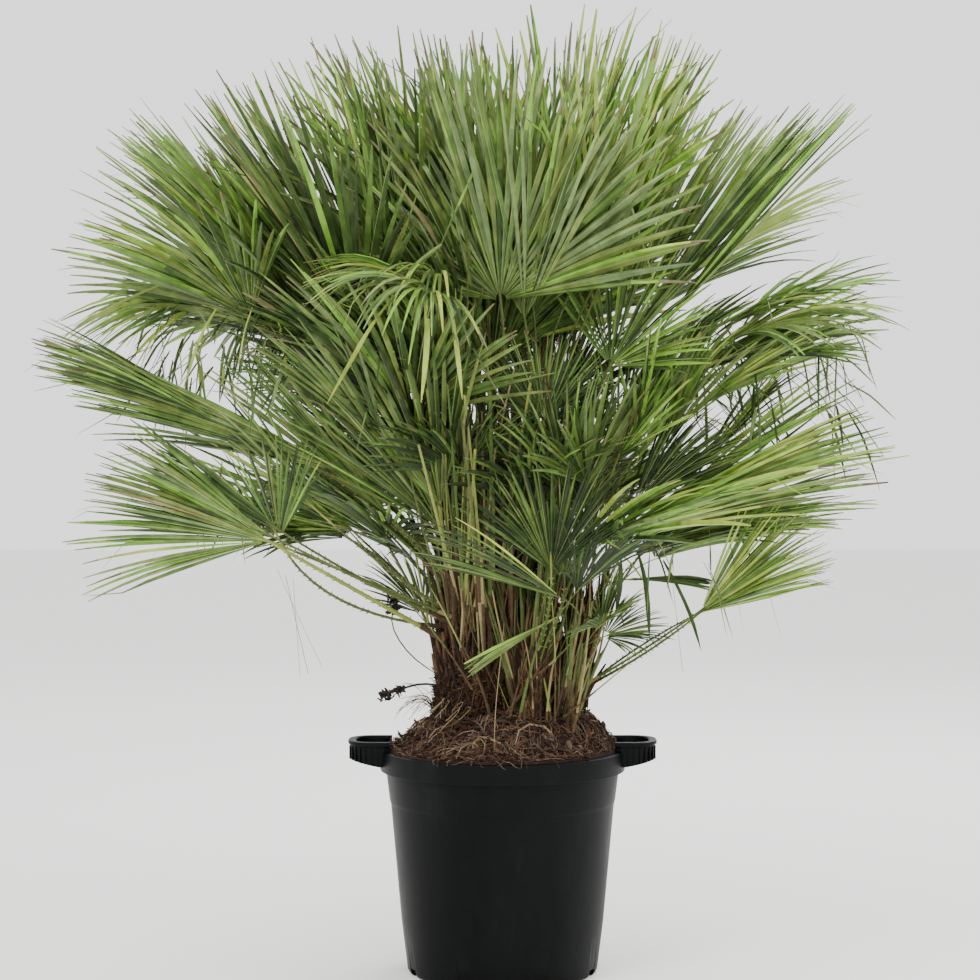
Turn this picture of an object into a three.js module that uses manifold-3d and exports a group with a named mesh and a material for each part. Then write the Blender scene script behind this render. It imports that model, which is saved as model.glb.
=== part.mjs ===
// A clumping European fan palm in its round plastic container.
// Millimetres, +Z up, +Y away from the front. The origin is the centre of the container's underside.
import * as THREE from 'three';
import { mergeVertices } from 'three/addons/utils/BufferGeometryUtils.js';
import Module from 'manifold-3d';

const wasm = await Module();
wasm.setup();

// Driving dimensions

const GAP = 0.3;                       // clearance between separate pieces that touch
const WELD = 1e-4;                     // corners closer than this are the same corner
const DEGREE = Math.PI / 180;

const POT = {
  height: 409, rimRadius: 225, rimBand: 37, lipWall: 3,
  neckRadius: 214.4, creaseHeight: 316, creaseRadius: 207.5, creaseStep: 2,
  taperHeight: 94, taperRadius: 186, footRadius: 175, footChamfer: 4,
  wall: 3, floor: 4, sides: 32,
};
const DRAIN = { count: 8, width: 24, height: 14, depth: 16 };
const HANDLE = { reach: 284, halfWidth: 58, wall: 9, height: 35, top: 424, cornerRadius: 30, root: 30 };
const SOIL = {
  crown: 484, edgeRise: 10, edgeTilt: 24, edgeDrop: 6, highSide: 20, dome: 2.4, inset: 0.5,
  wideLump: 5, smallLump: 4,
  ringShares: [0.97, 0.86, 0.68, 0.46, 0.22],
};

// Each stem runs from a flat cut in the soil to the top of its bare wood.
const STEM_RINGS = [0, 0.12, 0.4, 0.7, 0.93, 1];
const FLARE_END = 0.2;                 // share of the height where the root flare is gone
const STEM_CROWN = 0.72;               // how far the last ring is drawn in
const STEMS = {
  trunk: { foot: [-48, 0, 468], top: [-42, -12, 800], footRadius: 70, topRadius: 46, flare: 8, sides: 12 },
  tall: { foot: [60, 62, 470], top: [22, 40, 910], footRadius: 40, topRadius: 29, flare: 4, sides: 10 },
  right: { foot: [118, 0, 466], top: [152, -10, 640], footRadius: 27, topRadius: 19, flare: 4, sides: 8 },
  front: { foot: [44, -84, 462], top: [54, -100, 590], footRadius: 23, topRadius: 16, flare: 3, sides: 8 },
  rear: { foot: [-34, 126, 460], top: [-64, 178, 620], footRadius: 26, topRadius: 18, flare: 4, sides: 8 },
};

// Stalks are flat-topped rods that taper towards the blade.
const STALK = {
  footWidth: 13, tipWidth: 8, flatness: 0.7, underside: 0.6, steps: 6, seat: 0.75,
  spur: 30, spurWidth: 0.25,
};
const STALK_ROOM = {
  samples: 40, clearance: 3, stemClearance: 2, rootedShare: 0.35, stemEnd: 1.03,
  swing: 17 * DEGREE, swings: 8, drop: 0.1, drops: 3,
  bows: [0, 26, -26, 52, -52], pulls: [0.42, 0.3, 0.54],
};

// A blade is a fan of leaflets, each folded to a rib on its underside and joined near the stalk.
const LEAFLET = {
  step: 12.5 * DEGREE, least: 9, web: 0.3, widest: 0.36, taper: 0.66,
  hubThick: 8, rib: 6, keel: 0.85, cup: 0.22, shorten: 0.3, shortenAngle: 99 * DEGREE, sagPower: 2.2,
};
const LEAFLET_TILTS = [0, 0.07, -0.07, 0.14, -0.14, 0.21, -0.21];   // slopes out of the fan's plane
const LEAFLET_CUTS = [1, 0.72, 0.5];      // shares of the full length
const LEAFLET_ROOM = 0.7;                 // how much larger a trial leaflet is, all round
const NOTCH = 0.1;                        // share of the radius left where a leaflet is skipped

// The fronds that give the crown its outline, named by where they stand. hub is where the blade
// meets its stalk; lean, turn and roll set the blade's direction from upright, in degrees.
const SHOWN_FRONDS = [
  { name: 'front_centre', stem: 'trunk', rise: 0.98, hub: [-5, -190, 1225],
    lean: 12, turn: -125, roll: 0, radius: 475, spread: 88, droop: 0.04 },
  { name: 'top_right', stem: 'tall', rise: 0.98, hub: [110, 70, 1320],
    lean: 11, turn: 55, roll: 0, radius: 485, spread: 75, droop: 0.03 },
  { name: 'top_left', stem: 'trunk', rise: 0.96, hub: [-95, 50, 1280],
    lean: 25, turn: 165, roll: -30, radius: 490, spread: 60, droop: 0.03 },
  { name: 'centre_small', stem: 'tall', rise: 0.6, hub: [65, -110, 1020],
    lean: 10, turn: -80, roll: 0, radius: 150, spread: 70, droop: 0.02 },
  { name: 'front_arched', stem: 'trunk', rise: 0.9, hub: [-120, -320, 1230],
    lean: 70, turn: -140, roll: -20, radius: 270, spread: 80, droop: 0.45 },
  { name: 'right_long', stem: 'right', rise: 0.98, hub: [190, -130, 800],
    lean: 68, turn: -22, roll: 14, radius: 545, spread: 72, droop: 0.05 },
  { name: 'front_low', stem: 'front', rise: 0.95, hub: [84, -225, 752],
    lean: 10, turn: -100, roll: 0, radius: 240, spread: 80, droop: 0.08 },
  { name: 'front_right', stem: 'tall', rise: 0.35, hub: [138, -135, 868],
    lean: 12, turn: -40, roll: 0, radius: 250, spread: 72, droop: 0.08 },
  { name: 'left_high', stem: 'trunk', rise: 0.85, hub: [-375, 60, 1215],
    lean: 38, turn: 165, roll: 0, radius: 500, spread: 80, droop: 0.06 },
  { name: 'left_inner', stem: 'trunk', rise: 0.92, hub: [-260, -90, 1165],
    lean: 31, turn: -155, roll: 0, radius: 505, spread: 70, droop: 0.04 },
  { name: 'left_wide', stem: 'trunk', rise: 0.75, hub: [-455, -60, 1200],
    lean: 66, turn: -170, roll: 25, radius: 370, spread: 85, droop: 0.12 },
  { name: 'left_back', stem: 'trunk', rise: 0.62, hub: [-500, 130, 1240],
    lean: 74, turn: 155, roll: -20, radius: 340, spread: 80, droop: 0.35 },
  { name: 'left_flat', stem: 'trunk', rise: 0.66, hub: [-470, -110, 990],
    lean: 66, turn: -178, roll: 12, radius: 395, spread: 50, droop: 0.03 },
  { name: 'left_low', stem: 'trunk', rise: 0.4, hub: [-415, -170, 800],
    lean: 60, turn: -172, roll: 70, radius: 345, spread: 76, droop: 0.05 },
  { name: 'left_low_back', stem: 'trunk', rise: 0.5, hub: [-280, 100, 805],
    lean: 52, turn: 150, roll: -60, radius: 200, spread: 80, droop: 0.06 },
  { name: 'front_left', stem: 'trunk', rise: 0.6, hub: [-110, -150, 860],
    lean: 38, turn: -172, roll: 40, radius: 400, spread: 55, droop: 0.05 },
  { name: 'right_upright', stem: 'tall', rise: 0.94, hub: [175, -80, 1255],
    lean: 19, turn: -30, roll: 0, radius: 475, spread: 80, droop: 0.04 },
  { name: 'right_back', stem: 'tall', rise: 0.9, hub: [260, 100, 1220],
    lean: 32, turn: 28, roll: 0, radius: 475, spread: 80, droop: 0.06 },
  { name: 'right_high', stem: 'tall', rise: 0.86, hub: [290, -60, 1185],
    lean: 40, turn: -6, roll: 4, radius: 520, spread: 60, droop: 0.04 },
  { name: 'right_wide', stem: 'tall', rise: 0.78, hub: [355, 120, 1290],
    lean: 58, turn: 14, roll: -20, radius: 370, spread: 72, droop: 0.16 },
  { name: 'right_arched', stem: 'tall', rise: 0.66, hub: [420, -60, 1160],
    lean: 62, turn: -15, roll: 20, radius: 350, spread: 90, droop: 0.35 },
  { name: 'right_inner', stem: 'tall', rise: 0.7, hub: [262, -20, 1010],
    lean: 36, turn: -12, roll: 0, radius: 280, spread: 75, droop: 0.1 },
  { name: 'right_low', stem: 'right', rise: 0.8, hub: [285, 60, 755],
    lean: 74, turn: 18, roll: 0, radius: 370, spread: 75, droop: 0.1 },
  { name: 'right_middle', stem: 'right', rise: 0.95, hub: [365, 40, 920],
    lean: 38, turn: 8, roll: 0, radius: 300, spread: 85, droop: 0.14 },
  { name: 'right_lowest', stem: 'right', rise: 0.3, hub: [350, -140, 670],
    lean: 64, turn: -12, roll: 25, radius: 260, spread: 58, droop: 0 },
  { name: 'right_sucker', stem: 'right', rise: 0.5, hub: [175, -150, 650],
    lean: 62, turn: -60, roll: 20, radius: 110, spread: 90, droop: 0.1 },
];

// The other fronds fill the crown all round. Each tier is a ring of fronds round one stem.
const TIERS = [
  { name: 'crown', stem: 'tall', count: 5, first: 40, step: 50, lean: 14, stalk: 380,
    bend: 10, radius: 450, spread: 82, droop: 0.05 },
  { name: 'shoulder', stem: 'trunk', count: 4, first: 75, step: 52, lean: 27, stalk: 410,
    bend: 14, radius: 430, spread: 85, droop: 0.07 },
  { name: 'side', stem: 'tall', count: 4, first: 20, step: 58, lean: 42, stalk: 430,
    bend: 18, radius: 380, spread: 88, droop: 0.14 },
  { name: 'rear', stem: 'rear', count: 6, first: 15, step: 42, lean: 44, stalk: 330,
    bend: 16, radius: 310, spread: 85, droop: 0.1 },
  { name: 'inner', stem: 'trunk', count: 3, first: 210, step: 50, lean: 46, stalk: 230,
    bend: 12, radius: 230, spread: 80, droop: 0.12 },
];
const TIER_RISE = { start: 0.98, fall: 0.4 };
const TIER_SPREAD = {
  azimuth: 9, lean: 6, stalkLow: 0.88, stalkHigh: 1.1, bend: 4, turn: 14, roll: 18,
  radiusLow: 0.88, radiusHigh: 1.08,
};
const LAYOUT_SEED = 560;
const BLADE_SEED = 7919;
const LEAFLET_JITTER = { angle: 0.1, lengthLow: 0.95, lengthHigh: 1.03 };

// Small helpers

const vector = (x, y, z) => new THREE.Vector3(x, y, z);
const mix = (from, to, share) => from + (to - from) * share;

// The Park-Miller generator, so that the same seed gives the same palm anywhere.
function seeded(seed) {
  let state = seed;
  return (low = 0, high = 1) => {
    state = (state * 16807) % 2147483647;
    return mix(low, high, state / 2147483647);
  };
}

function material(color, roughness) {
  return new THREE.MeshStandardMaterial({ color, roughness, metalness: 0 });
}

// Faces are lists of corner numbers; a body that comes out inside out is turned.
function geometryOf(points, faces) {
  const geometry = new THREE.BufferGeometry();
  const places = points.flatMap((point) => [point.x, point.y, point.z]);
  geometry.setAttribute('position', new THREE.Float32BufferAttribute(places, 3));
  const corners = [];
  for (const face of faces) {
    for (let i = 2; i < face.length; i += 1) corners.push(face[0], face[i - 1], face[i]);
  }
  geometry.setIndex(volumeOf(points, corners) < 0 ? corners.reverse() : corners);
  return geometry;
}

function volumeOf(points, corners) {
  let six = 0;
  for (let i = 0; i < corners.length; i += 3) {
    const [a, b, c] = [points[corners[i]], points[corners[i + 1]], points[corners[i + 2]]];
    six += a.dot(b.clone().cross(c));
  }
  return six;
}

// The corners alone, each place only once.
function weld(geometry) {
  const bare = geometry.clone();
  bare.deleteAttribute('normal');
  bare.deleteAttribute('uv');
  return mergeVertices(bare, WELD);
}

function solidOf(geometry) {
  const merged = weld(geometry);
  return new wasm.Manifold(new wasm.Mesh({
    numProp: 3,
    vertProperties: new Float32Array(merged.attributes.position.array),
    triVerts: new Uint32Array(merged.index.array),
  }));
}

function geometryFrom(solid) {
  const mesh = solid.getMesh();
  const geometry = new THREE.BufferGeometry();
  geometry.setAttribute('position', new THREE.Float32BufferAttribute(mesh.vertProperties, 3));
  geometry.setIndex([...mesh.triVerts]);
  return geometry;
}

// A boolean cut can leave loose scraps; the piece itself is the largest of them.
function largest(solid) {
  const pieces = solid.decompose();
  return pieces.reduce((best, piece) => (piece.volume() > best.volume() ? piece : best));
}

// A closed skin through rings of points, each ring with the same number of corners.
function loft(rings) {
  const points = rings.flat();
  const sides = rings[0].length;
  const faces = [];
  for (let r = 1; r < rings.length; r += 1) {
    for (let i = 0; i < sides; i += 1) {
      const next = (i + 1) % sides;
      const [low, high] = [(r - 1) * sides, r * sides];
      faces.push([low + i, low + next, high + next, high + i]);
    }
  }
  faces.push(rings[0].map((_, i) => sides - 1 - i));
  faces.push(rings[0].map((_, i) => points.length - sides + i));
  return geometryOf(points, faces);
}

// Container: one thin moulded shell with a hollow lip, a crease below the neck and drain slots

const WALL_INSIDE = [
  [POT.footRadius - POT.wall - 0.8, POT.floor],
  [POT.taperRadius - POT.wall, POT.taperHeight],
  [POT.creaseRadius - POT.creaseStep - POT.wall, POT.creaseHeight - 5],
  [POT.creaseRadius - POT.wall, POT.creaseHeight + 1],
  [POT.neckRadius - POT.wall, POT.height - POT.rimBand],
];

function potShell() {
  const lipInner = POT.rimRadius - POT.lipWall;
  const bandFoot = POT.height - POT.rimBand;
  const outline = [
    [0, 0],
    [POT.footRadius - POT.footChamfer, 0],
    [POT.footRadius, POT.footChamfer + 1],
    [POT.taperRadius, POT.taperHeight],
    [POT.creaseRadius - POT.creaseStep, POT.creaseHeight - 5],
    [POT.creaseRadius, POT.creaseHeight],
    [POT.neckRadius, bandFoot],
    [POT.neckRadius + 1, POT.height - POT.lipWall],
    [lipInner, POT.height - POT.lipWall],
    [lipInner, bandFoot],
    [POT.rimRadius, bandFoot],
    [POT.rimRadius, POT.height],
    [POT.neckRadius - POT.wall + 1, POT.height],
    ...[...WALL_INSIDE].reverse(),
    [0, POT.floor],
  ].map(([radius, height]) => new THREE.Vector2(radius, height));
  const shell = new THREE.LatheGeometry(outline, POT.sides);
  shell.rotateX(Math.PI / 2);
  let solid = solidOf(outwards(shell));
  for (let i = 0; i < DRAIN.count; i += 1) {
    const slot = new THREE.BoxGeometry(DRAIN.depth * 2, DRAIN.width, DRAIN.height * 2);
    slot.translate(POT.footRadius, 0, 0);
    slot.rotateZ((i + 0.5) * (2 * Math.PI / DRAIN.count));
    solid = solid.subtract(solidOf(slot));
  }
  return solid;
}

// A lathe turns about Y; once stood up its faces may look inwards, so they are put right here.
function outwards(geometry) {
  const merged = weld(geometry);
  const place = merged.attributes.position;
  const points = [];
  for (let i = 0; i < place.count; i += 1) points.push(vector(place.getX(i), place.getY(i), place.getZ(i)));
  const faces = [];
  const corners = [...merged.index.array];
  for (let i = 0; i < corners.length; i += 3) {
    const face = corners.slice(i, i + 3);
    if (new Set(face).size === 3) faces.push(face);
  }
  return geometryOf(points, faces);
}

// Handles: a loop of the same plastic at each side of the rim, open from above for the fingers

function handleOutline(offset) {
  const { reach, halfWidth, cornerRadius } = HANDLE;
  const inside = POT.rimRadius - HANDLE.root;
  const shape = new THREE.Shape();
  const corner = cornerRadius - offset;
  shape.moveTo(inside, -halfWidth + offset);
  shape.lineTo(reach - cornerRadius, -halfWidth + offset);
  shape.absarc(reach - cornerRadius, -halfWidth + cornerRadius, corner, -Math.PI / 2, 0, false);
  shape.absarc(reach - cornerRadius, halfWidth - cornerRadius, corner, 0, Math.PI / 2, false);
  shape.lineTo(inside, halfWidth - offset);
  shape.closePath();
  return shape;
}

function handleLoop(side) {
  const block = (shape, low, high) => {
    const sweep = { depth: high - low, bevelEnabled: false, curveSegments: 4 };
    const geometry = new THREE.ExtrudeGeometry(shape, sweep);
    geometry.translate(0, 0, low);
    return solidOf(geometry);
  };
  const foot = HANDLE.top - HANDLE.height;
  const rimSide = POT.rimRadius + GAP;
  const rim = new THREE.CylinderGeometry(rimSide, rimSide, 4 * HANDLE.height, POT.sides);
  rim.rotateX(Math.PI / 2);
  rim.rotateZ(Math.PI / 2);
  rim.translate(0, 0, HANDLE.top);
  const loop = block(handleOutline(0), foot, HANDLE.top)
    .subtract(block(handleOutline(HANDLE.wall), foot - 5, HANDLE.top + 5))
    .subtract(solidOf(rim));
  return side < 0 ? loop.rotate([0, 0, 180]) : loop;
}

// Soil: the root ball that fills the container, heaped above the rim and higher to the right

function soilHeight(share, angle) {
  const edge = POT.height + SOIL.edgeRise + SOIL.edgeTilt * Math.cos(angle - SOIL.highSide * DEGREE);
  const wideLumps = SOIL.wideLump * Math.sin(3 * angle + 7 * share);
  const smallLumps = SOIL.smallLump * Math.cos(5 * angle - 9 * share);
  return edge + (SOIL.crown - edge) * (1 - share ** SOIL.dome) + (wideLumps + smallLumps) * share;
}

function soilBody() {
  const ring = (radius, heightAt) => {
    const points = [];
    for (let i = 0; i < POT.sides; i += 1) {
      const angle = (i / POT.sides) * 2 * Math.PI + Math.PI / 2;
      points.push(vector(radius * Math.cos(angle), radius * Math.sin(angle), heightAt(angle)));
    }
    return points;
  };
  const rings = WALL_INSIDE.map(([radius, height], i) => (
    ring(radius - SOIL.inset, () => height + (i === 0 ? SOIL.inset : 0))));
  const neck = POT.neckRadius - POT.wall - SOIL.inset;
  rings.push(ring(neck, (angle) => Math.max(soilHeight(1, angle), POT.height) - SOIL.edgeDrop));
  for (const share of SOIL.ringShares) rings.push(ring(neck * share, (angle) => soilHeight(share, angle)));
  let solid = solidOf(loft(rings));
  for (const key of Object.keys(STEMS)) solid = solid.subtract(solidOf(stemGeometry(STEMS[key], GAP)));
  return solid;
}

// Stems: tapering wood with a flared foot, cut flat where it stands in the soil

function stemGeometry(stem, growth) {
  const foot = vector(...stem.foot);
  const top = vector(...stem.top);
  foot.z -= growth;
  top.z += growth;
  const rings = STEM_RINGS.map((share) => {
    const centre = foot.clone().lerp(top, share);
    const flare = stem.flare * Math.max(0, 1 - share / FLARE_END);
    const crown = share === 1 ? STEM_CROWN : 1;
    const radius = (mix(stem.footRadius, stem.topRadius, share) + flare) * crown + growth * 1.1;
    const points = [];
    for (let i = 0; i < stem.sides; i += 1) {
      const angle = (i / stem.sides) * 2 * Math.PI;
      points.push(centre.clone().add(vector(radius * Math.cos(angle), radius * Math.sin(angle), 0)));
    }
    return points;
  });
  return loft(rings);
}

function stemAt(key, share) {
  const stem = STEMS[key];
  const centre = vector(...stem.foot).lerp(vector(...stem.top), share);
  return { centre, radius: mix(stem.footRadius, stem.topRadius, share) };
}

// Fronds: layout. The shown fronds come first, then the tiers, all from one seeded rule.

function heading(lean, turn) {
  return vector(
    Math.sin(lean * DEGREE) * Math.cos(turn * DEGREE),
    Math.sin(lean * DEGREE) * Math.sin(turn * DEGREE),
    Math.cos(lean * DEGREE),
  );
}

// forward runs up the middle of the fan, side across it, and above stands out of its upper face.
function bladeFrame({ lean, turn, roll }) {
  const forward = heading(lean, turn);
  const level = vector(-Math.sin(turn * DEGREE), Math.cos(turn * DEGREE), 0);
  const raised = forward.clone().cross(level);
  const [c, s] = [Math.cos(roll * DEGREE), Math.sin(roll * DEGREE)];
  const side = level.clone().multiplyScalar(c).addScaledVector(raised, s);
  const above = raised.clone().multiplyScalar(c).addScaledVector(level, -s);
  return { forward, side, above };
}

function layoutFronds() {
  const random = seeded(LAYOUT_SEED);
  const fronds = SHOWN_FRONDS.map((frond) => ({ ...frond, hub: vector(...frond.hub) }));
  for (const tier of TIERS) {
    for (let i = 0; i < tier.count; i += 1) {
      const azimuth = tier.first + tier.step * i + random(-TIER_SPREAD.azimuth, TIER_SPREAD.azimuth);
      const lean = tier.lean + random(-TIER_SPREAD.lean, TIER_SPREAD.lean);
      const stalk = tier.stalk * random(TIER_SPREAD.stalkLow, TIER_SPREAD.stalkHigh);
      const rise = TIER_RISE.start - TIER_RISE.fall * i / tier.count;
      fronds.push({
        name: `${tier.name}_${i + 1}`,
        stem: tier.stem,
        rise,
        hub: stemAt(tier.stem, rise).centre.addScaledVector(heading(lean, azimuth), stalk),
        lean: lean + tier.bend + random(-TIER_SPREAD.bend, TIER_SPREAD.bend),
        turn: azimuth + random(-TIER_SPREAD.turn, TIER_SPREAD.turn),
        roll: random(-TIER_SPREAD.roll, TIER_SPREAD.roll),
        radius: tier.radius * random(TIER_SPREAD.radiusLow, TIER_SPREAD.radiusHigh),
        spread: tier.spread,
        droop: tier.droop,
      });
    }
  }
  return fronds;
}

// Each stalk takes the first place round its stem where it keeps clear of the stalks before it.
function stalkCurve(frond, attempt) {
  const { swings, drops, bows, pulls } = STALK_ROOM;
  const swing = Math.ceil((attempt % swings) / 2) * (attempt % 2 ? 1 : -1) * STALK_ROOM.swing;
  const share = frond.rise - (Math.floor(attempt / swings) % drops) * STALK_ROOM.drop;
  const bow = bows[Math.floor(attempt / (swings * drops)) % bows.length];
  const pull = pulls[Math.floor(attempt / (swings * drops * bows.length))];
  const { centre, radius } = stemAt(frond.stem, share);
  const direction = Math.atan2(frond.hub.y - centre.y, frond.hub.x - centre.x) + swing;
  const seat = radius * STALK.seat;
  const foot = centre.add(vector(seat * Math.cos(direction), seat * Math.sin(direction), 0));
  const { forward, side } = bladeFrame(frond);
  const reach = foot.distanceTo(frond.hub);
  const bend = frond.hub.clone().addScaledVector(forward, -reach * pull).addScaledVector(side, bow);
  return new THREE.QuadraticBezierCurve3(foot, bend, frond.hub.clone());
}

function samplesOf(curve) {
  const samples = [];
  for (let i = 1; i <= STALK_ROOM.samples; i += 1) {
    const share = i / STALK_ROOM.samples;
    const radius = mix(STALK.footWidth, STALK.tipWidth, share) / 2;
    samples.push({ point: curve.getPoint(share), radius, share });
  }
  return samples;
}

function hitsStem(frond, samples) {
  return Object.keys(STEMS).some((key) => {
    const stem = STEMS[key];
    const foot = vector(...stem.foot);
    const axis = vector(...stem.top).sub(foot);
    return samples.some(({ point, radius, share }) => {
      const along = point.clone().sub(foot).dot(axis) / axis.lengthSq();
      const rooted = key === frond.stem && share < STALK_ROOM.rootedShare;
      if (rooted || along > STALK_ROOM.stemEnd) return false;
      const away = point.distanceTo(foot.clone().addScaledVector(axis, along));
      const wood = mix(stem.footRadius, stem.topRadius, Math.max(0, along));
      return away < wood + radius + STALK_ROOM.stemClearance;
    });
  });
}

function clearanceOf(samples, placed) {
  let least = Infinity;
  for (const other of placed) {
    for (const a of samples) {
      for (const b of other) least = Math.min(least, a.point.distanceTo(b.point) - a.radius - b.radius);
    }
  }
  return least;
}

function placeStalks(fronds) {
  const placed = [];
  const { swings, drops, bows, pulls } = STALK_ROOM;
  for (const frond of fronds) {
    let best = null;
    for (let attempt = 0; attempt < swings * drops * bows.length * pulls.length; attempt += 1) {
      const curve = stalkCurve(frond, attempt);
      const samples = samplesOf(curve);
      if (hitsStem(frond, samples)) continue;
      const room = clearanceOf(samples, placed);
      if (!best || room > best.room) best = { curve, samples, room };
      if (room > STALK_ROOM.clearance) break;
    }
    frond.clear = best !== null && best.room > STALK_ROOM.clearance;
    if (!frond.clear) continue;
    frond.curve = best.curve;
    placed.push(best.samples);
  }
  return fronds.filter((frond) => frond.clear);
}

// A stalk is a four-sided rod that ends in a spur under the middle of the blade.
function stalkGeometry(frond) {
  const { forward, side, above } = bladeFrame(frond);
  const rings = [];
  for (let i = 0; i <= STALK.steps; i += 1) {
    const share = i / STALK.steps;
    const centre = frond.curve.getPoint(share);
    const tangent = frond.curve.getTangent(share);
    const half = mix(STALK.footWidth, STALK.tipWidth, share) / 2;
    const across = side.clone().addScaledVector(tangent, -side.dot(tangent)).normalize();
    const up = tangent.clone().cross(across).normalize();
    if (up.dot(above) < 0) up.negate();
    const corner = (x, y) => centre.clone().addScaledVector(across, x * half)
      .addScaledVector(up, y * half * STALK.flatness);
    rings.push([corner(1, 1), corner(-1, 1), corner(-STALK.underside, -1), corner(STALK.underside, -1)]);
  }
  const spurEnd = frond.hub.clone().addScaledVector(forward, STALK.spur);
  const last = rings[rings.length - 1];
  rings.push(last.map((point) => (
    spurEnd.clone().addScaledVector(point.clone().sub(frond.hub), STALK.spurWidth))));
  return loft(rings);
}

// Fronds: blades

function sagOf(frond, distance) {
  return frond.droop * frond.radius * (distance / frond.radius) ** LEAFLET.sagPower;
}

function bladeRay(frond, frame, angle, tilt) {
  return frame.forward.clone().multiplyScalar(Math.cos(angle))
    .addScaledVector(frame.side, Math.sin(angle))
    .addScaledVector(frame.above, LEAFLET.cup * Math.abs(Math.sin(angle)) + tilt)
    .normalize();
}

function bladePoint(frond, ray, distance) {
  return frond.hub.clone().addScaledVector(ray, distance).add(vector(0, 0, -sagOf(frond, distance)));
}

// The leaflets' angles and lengths, before any is tilted, cut or skipped.
function planBlade(frond, index) {
  const random = seeded(BLADE_SEED + index * 101);
  const spread = frond.spread * DEGREE;
  const count = Math.max(LEAFLET.least, Math.round(2 * spread / LEAFLET.step));
  const step = 2 * spread / count;
  const leaflets = [];
  for (let i = 0; i < count; i += 1) {
    const angle = -spread + step * (i + 0.5);
    const nudge = random(-1, 1) * step * LEAFLET_JITTER.angle;
    const share = 1 - LEAFLET.shorten * (angle / LEAFLET.shortenAngle) ** 2;
    const length = frond.radius * share * random(LEAFLET_JITTER.lengthLow, LEAFLET_JITTER.lengthHigh);
    leaflets.push({
      left: angle - step / 2,
      right: angle + step / 2,
      middle: angle,
      tipAngle: angle + nudge,
      length,
    });
  }
  return { frame: bladeFrame(frond), leaflets, web: frond.radius * LEAFLET.web };
}

// The corners of one leaflet; room is how much larger a trial body is made all round.
function leafletPoints(frond, plan, leaflet, choice, room) {
  const { frame, web } = plan;
  const valleyLeft = bladePoint(frond, bladeRay(frond, frame, leaflet.left, 0), web);
  const valleyRight = bladePoint(frond, bladeRay(frond, frame, leaflet.right, 0), web);
  const ray = bladeRay(frond, frame, leaflet.tipAngle, choice.tilt);
  const across = frame.side.clone().multiplyScalar(Math.cos(leaflet.middle))
    .addScaledVector(frame.forward, -Math.sin(leaflet.middle));
  across.addScaledVector(ray, -across.dot(ray)).normalize();
  const up = across.clone().cross(ray).normalize();
  if (up.dot(frame.above) < 0) up.negate();
  const length = leaflet.length * choice.cut;
  const halfWeb = valleyLeft.distanceTo(valleyRight) / 2;
  const half = halfWeb * LEAFLET.taper + room;
  const widest = bladePoint(frond, ray, mix(web, length, LEAFLET.widest));
  const lift = up.clone().multiplyScalar(room);
  valleyLeft.addScaledVector(across, -room).add(lift);
  valleyRight.addScaledVector(across, room).add(lift);
  const middle = bladePoint(frond, bladeRay(frond, frame, leaflet.middle, 0), web);
  return {
    valleyLeft,
    valleyRight,
    ridge: middle.addScaledVector(up, -LEAFLET.rib - room),
    edgeLeft: widest.clone().addScaledVector(across, -half).add(lift),
    edgeRight: widest.clone().addScaledVector(across, half).add(lift),
    keel: widest.clone().addScaledVector(up, -LEAFLET.rib * LEAFLET.keel - room),
    tip: bladePoint(frond, ray, length + room),
  };
}

function hubPoints(frond, plan, room) {
  const half = LEAFLET.hubThick / 2 + room;
  return {
    top: frond.hub.clone().addScaledVector(plan.frame.above, half),
    bottom: frond.hub.clone().addScaledVector(plan.frame.above, -half),
  };
}

// One leaflet with its share of the web, as a closed body, for the trial against its neighbours.
function leafletBody(frond, plan, leaflet, choice, room) {
  const { top, bottom } = hubPoints(frond, plan, room);
  const corner = leafletPoints(frond, plan, leaflet, choice, room);
  const points = [top, bottom, corner.valleyLeft, corner.valleyRight, corner.ridge];
  const faces = [[0, 3, 2], [1, 2, 4], [1, 4, 3], [0, 2, 1], [0, 1, 3]];
  if (choice.kind === 'web') {
    faces.push([2, 3, 4]);
  } else {
    points.push(corner.edgeLeft, corner.edgeRight, corner.keel, corner.tip);
    faces.push([2, 3, 6], [2, 6, 5], [2, 5, 7], [2, 7, 4], [3, 4, 7], [3, 7, 6]);
    faces.push([5, 6, 8], [5, 8, 7], [7, 8, 6]);
  }
  return solidOf(geometryOf(points, faces));
}

function boxesMeet(a, b) {
  return a.min.every((low, i) => low <= b.max[i]) && b.min.every((low, i) => low <= a.max[i]);
}

function meets(solid, taken) {
  const box = solid.boundingBox();
  return taken.some((other) => boxesMeet(box, other.box) && !solid.intersect(other.solid).isEmpty());
}

function leafletChoices() {
  const choices = [];
  for (const cut of LEAFLET_CUTS) {
    for (const tilt of LEAFLET_TILTS) choices.push({ kind: 'full', cut, tilt });
  }
  choices.push({ kind: 'web', cut: 1, tilt: 0 });
  return choices;
}

// A leaflet that would touch anything is leant, then shortened, then skipped.
function chooseLeaflets(frond, plan, taken) {
  const own = [];
  for (const leaflet of plan.leaflets) {
    leaflet.choice = { kind: 'notch' };
    for (const choice of leafletChoices()) {
      const trial = leafletBody(frond, plan, leaflet, choice, LEAFLET_ROOM);
      if (meets(trial, taken)) continue;
      leaflet.choice = choice;
      own.push(leafletBody(frond, plan, leaflet, choice, 0));
      break;
    }
  }
  return own;
}

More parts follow.
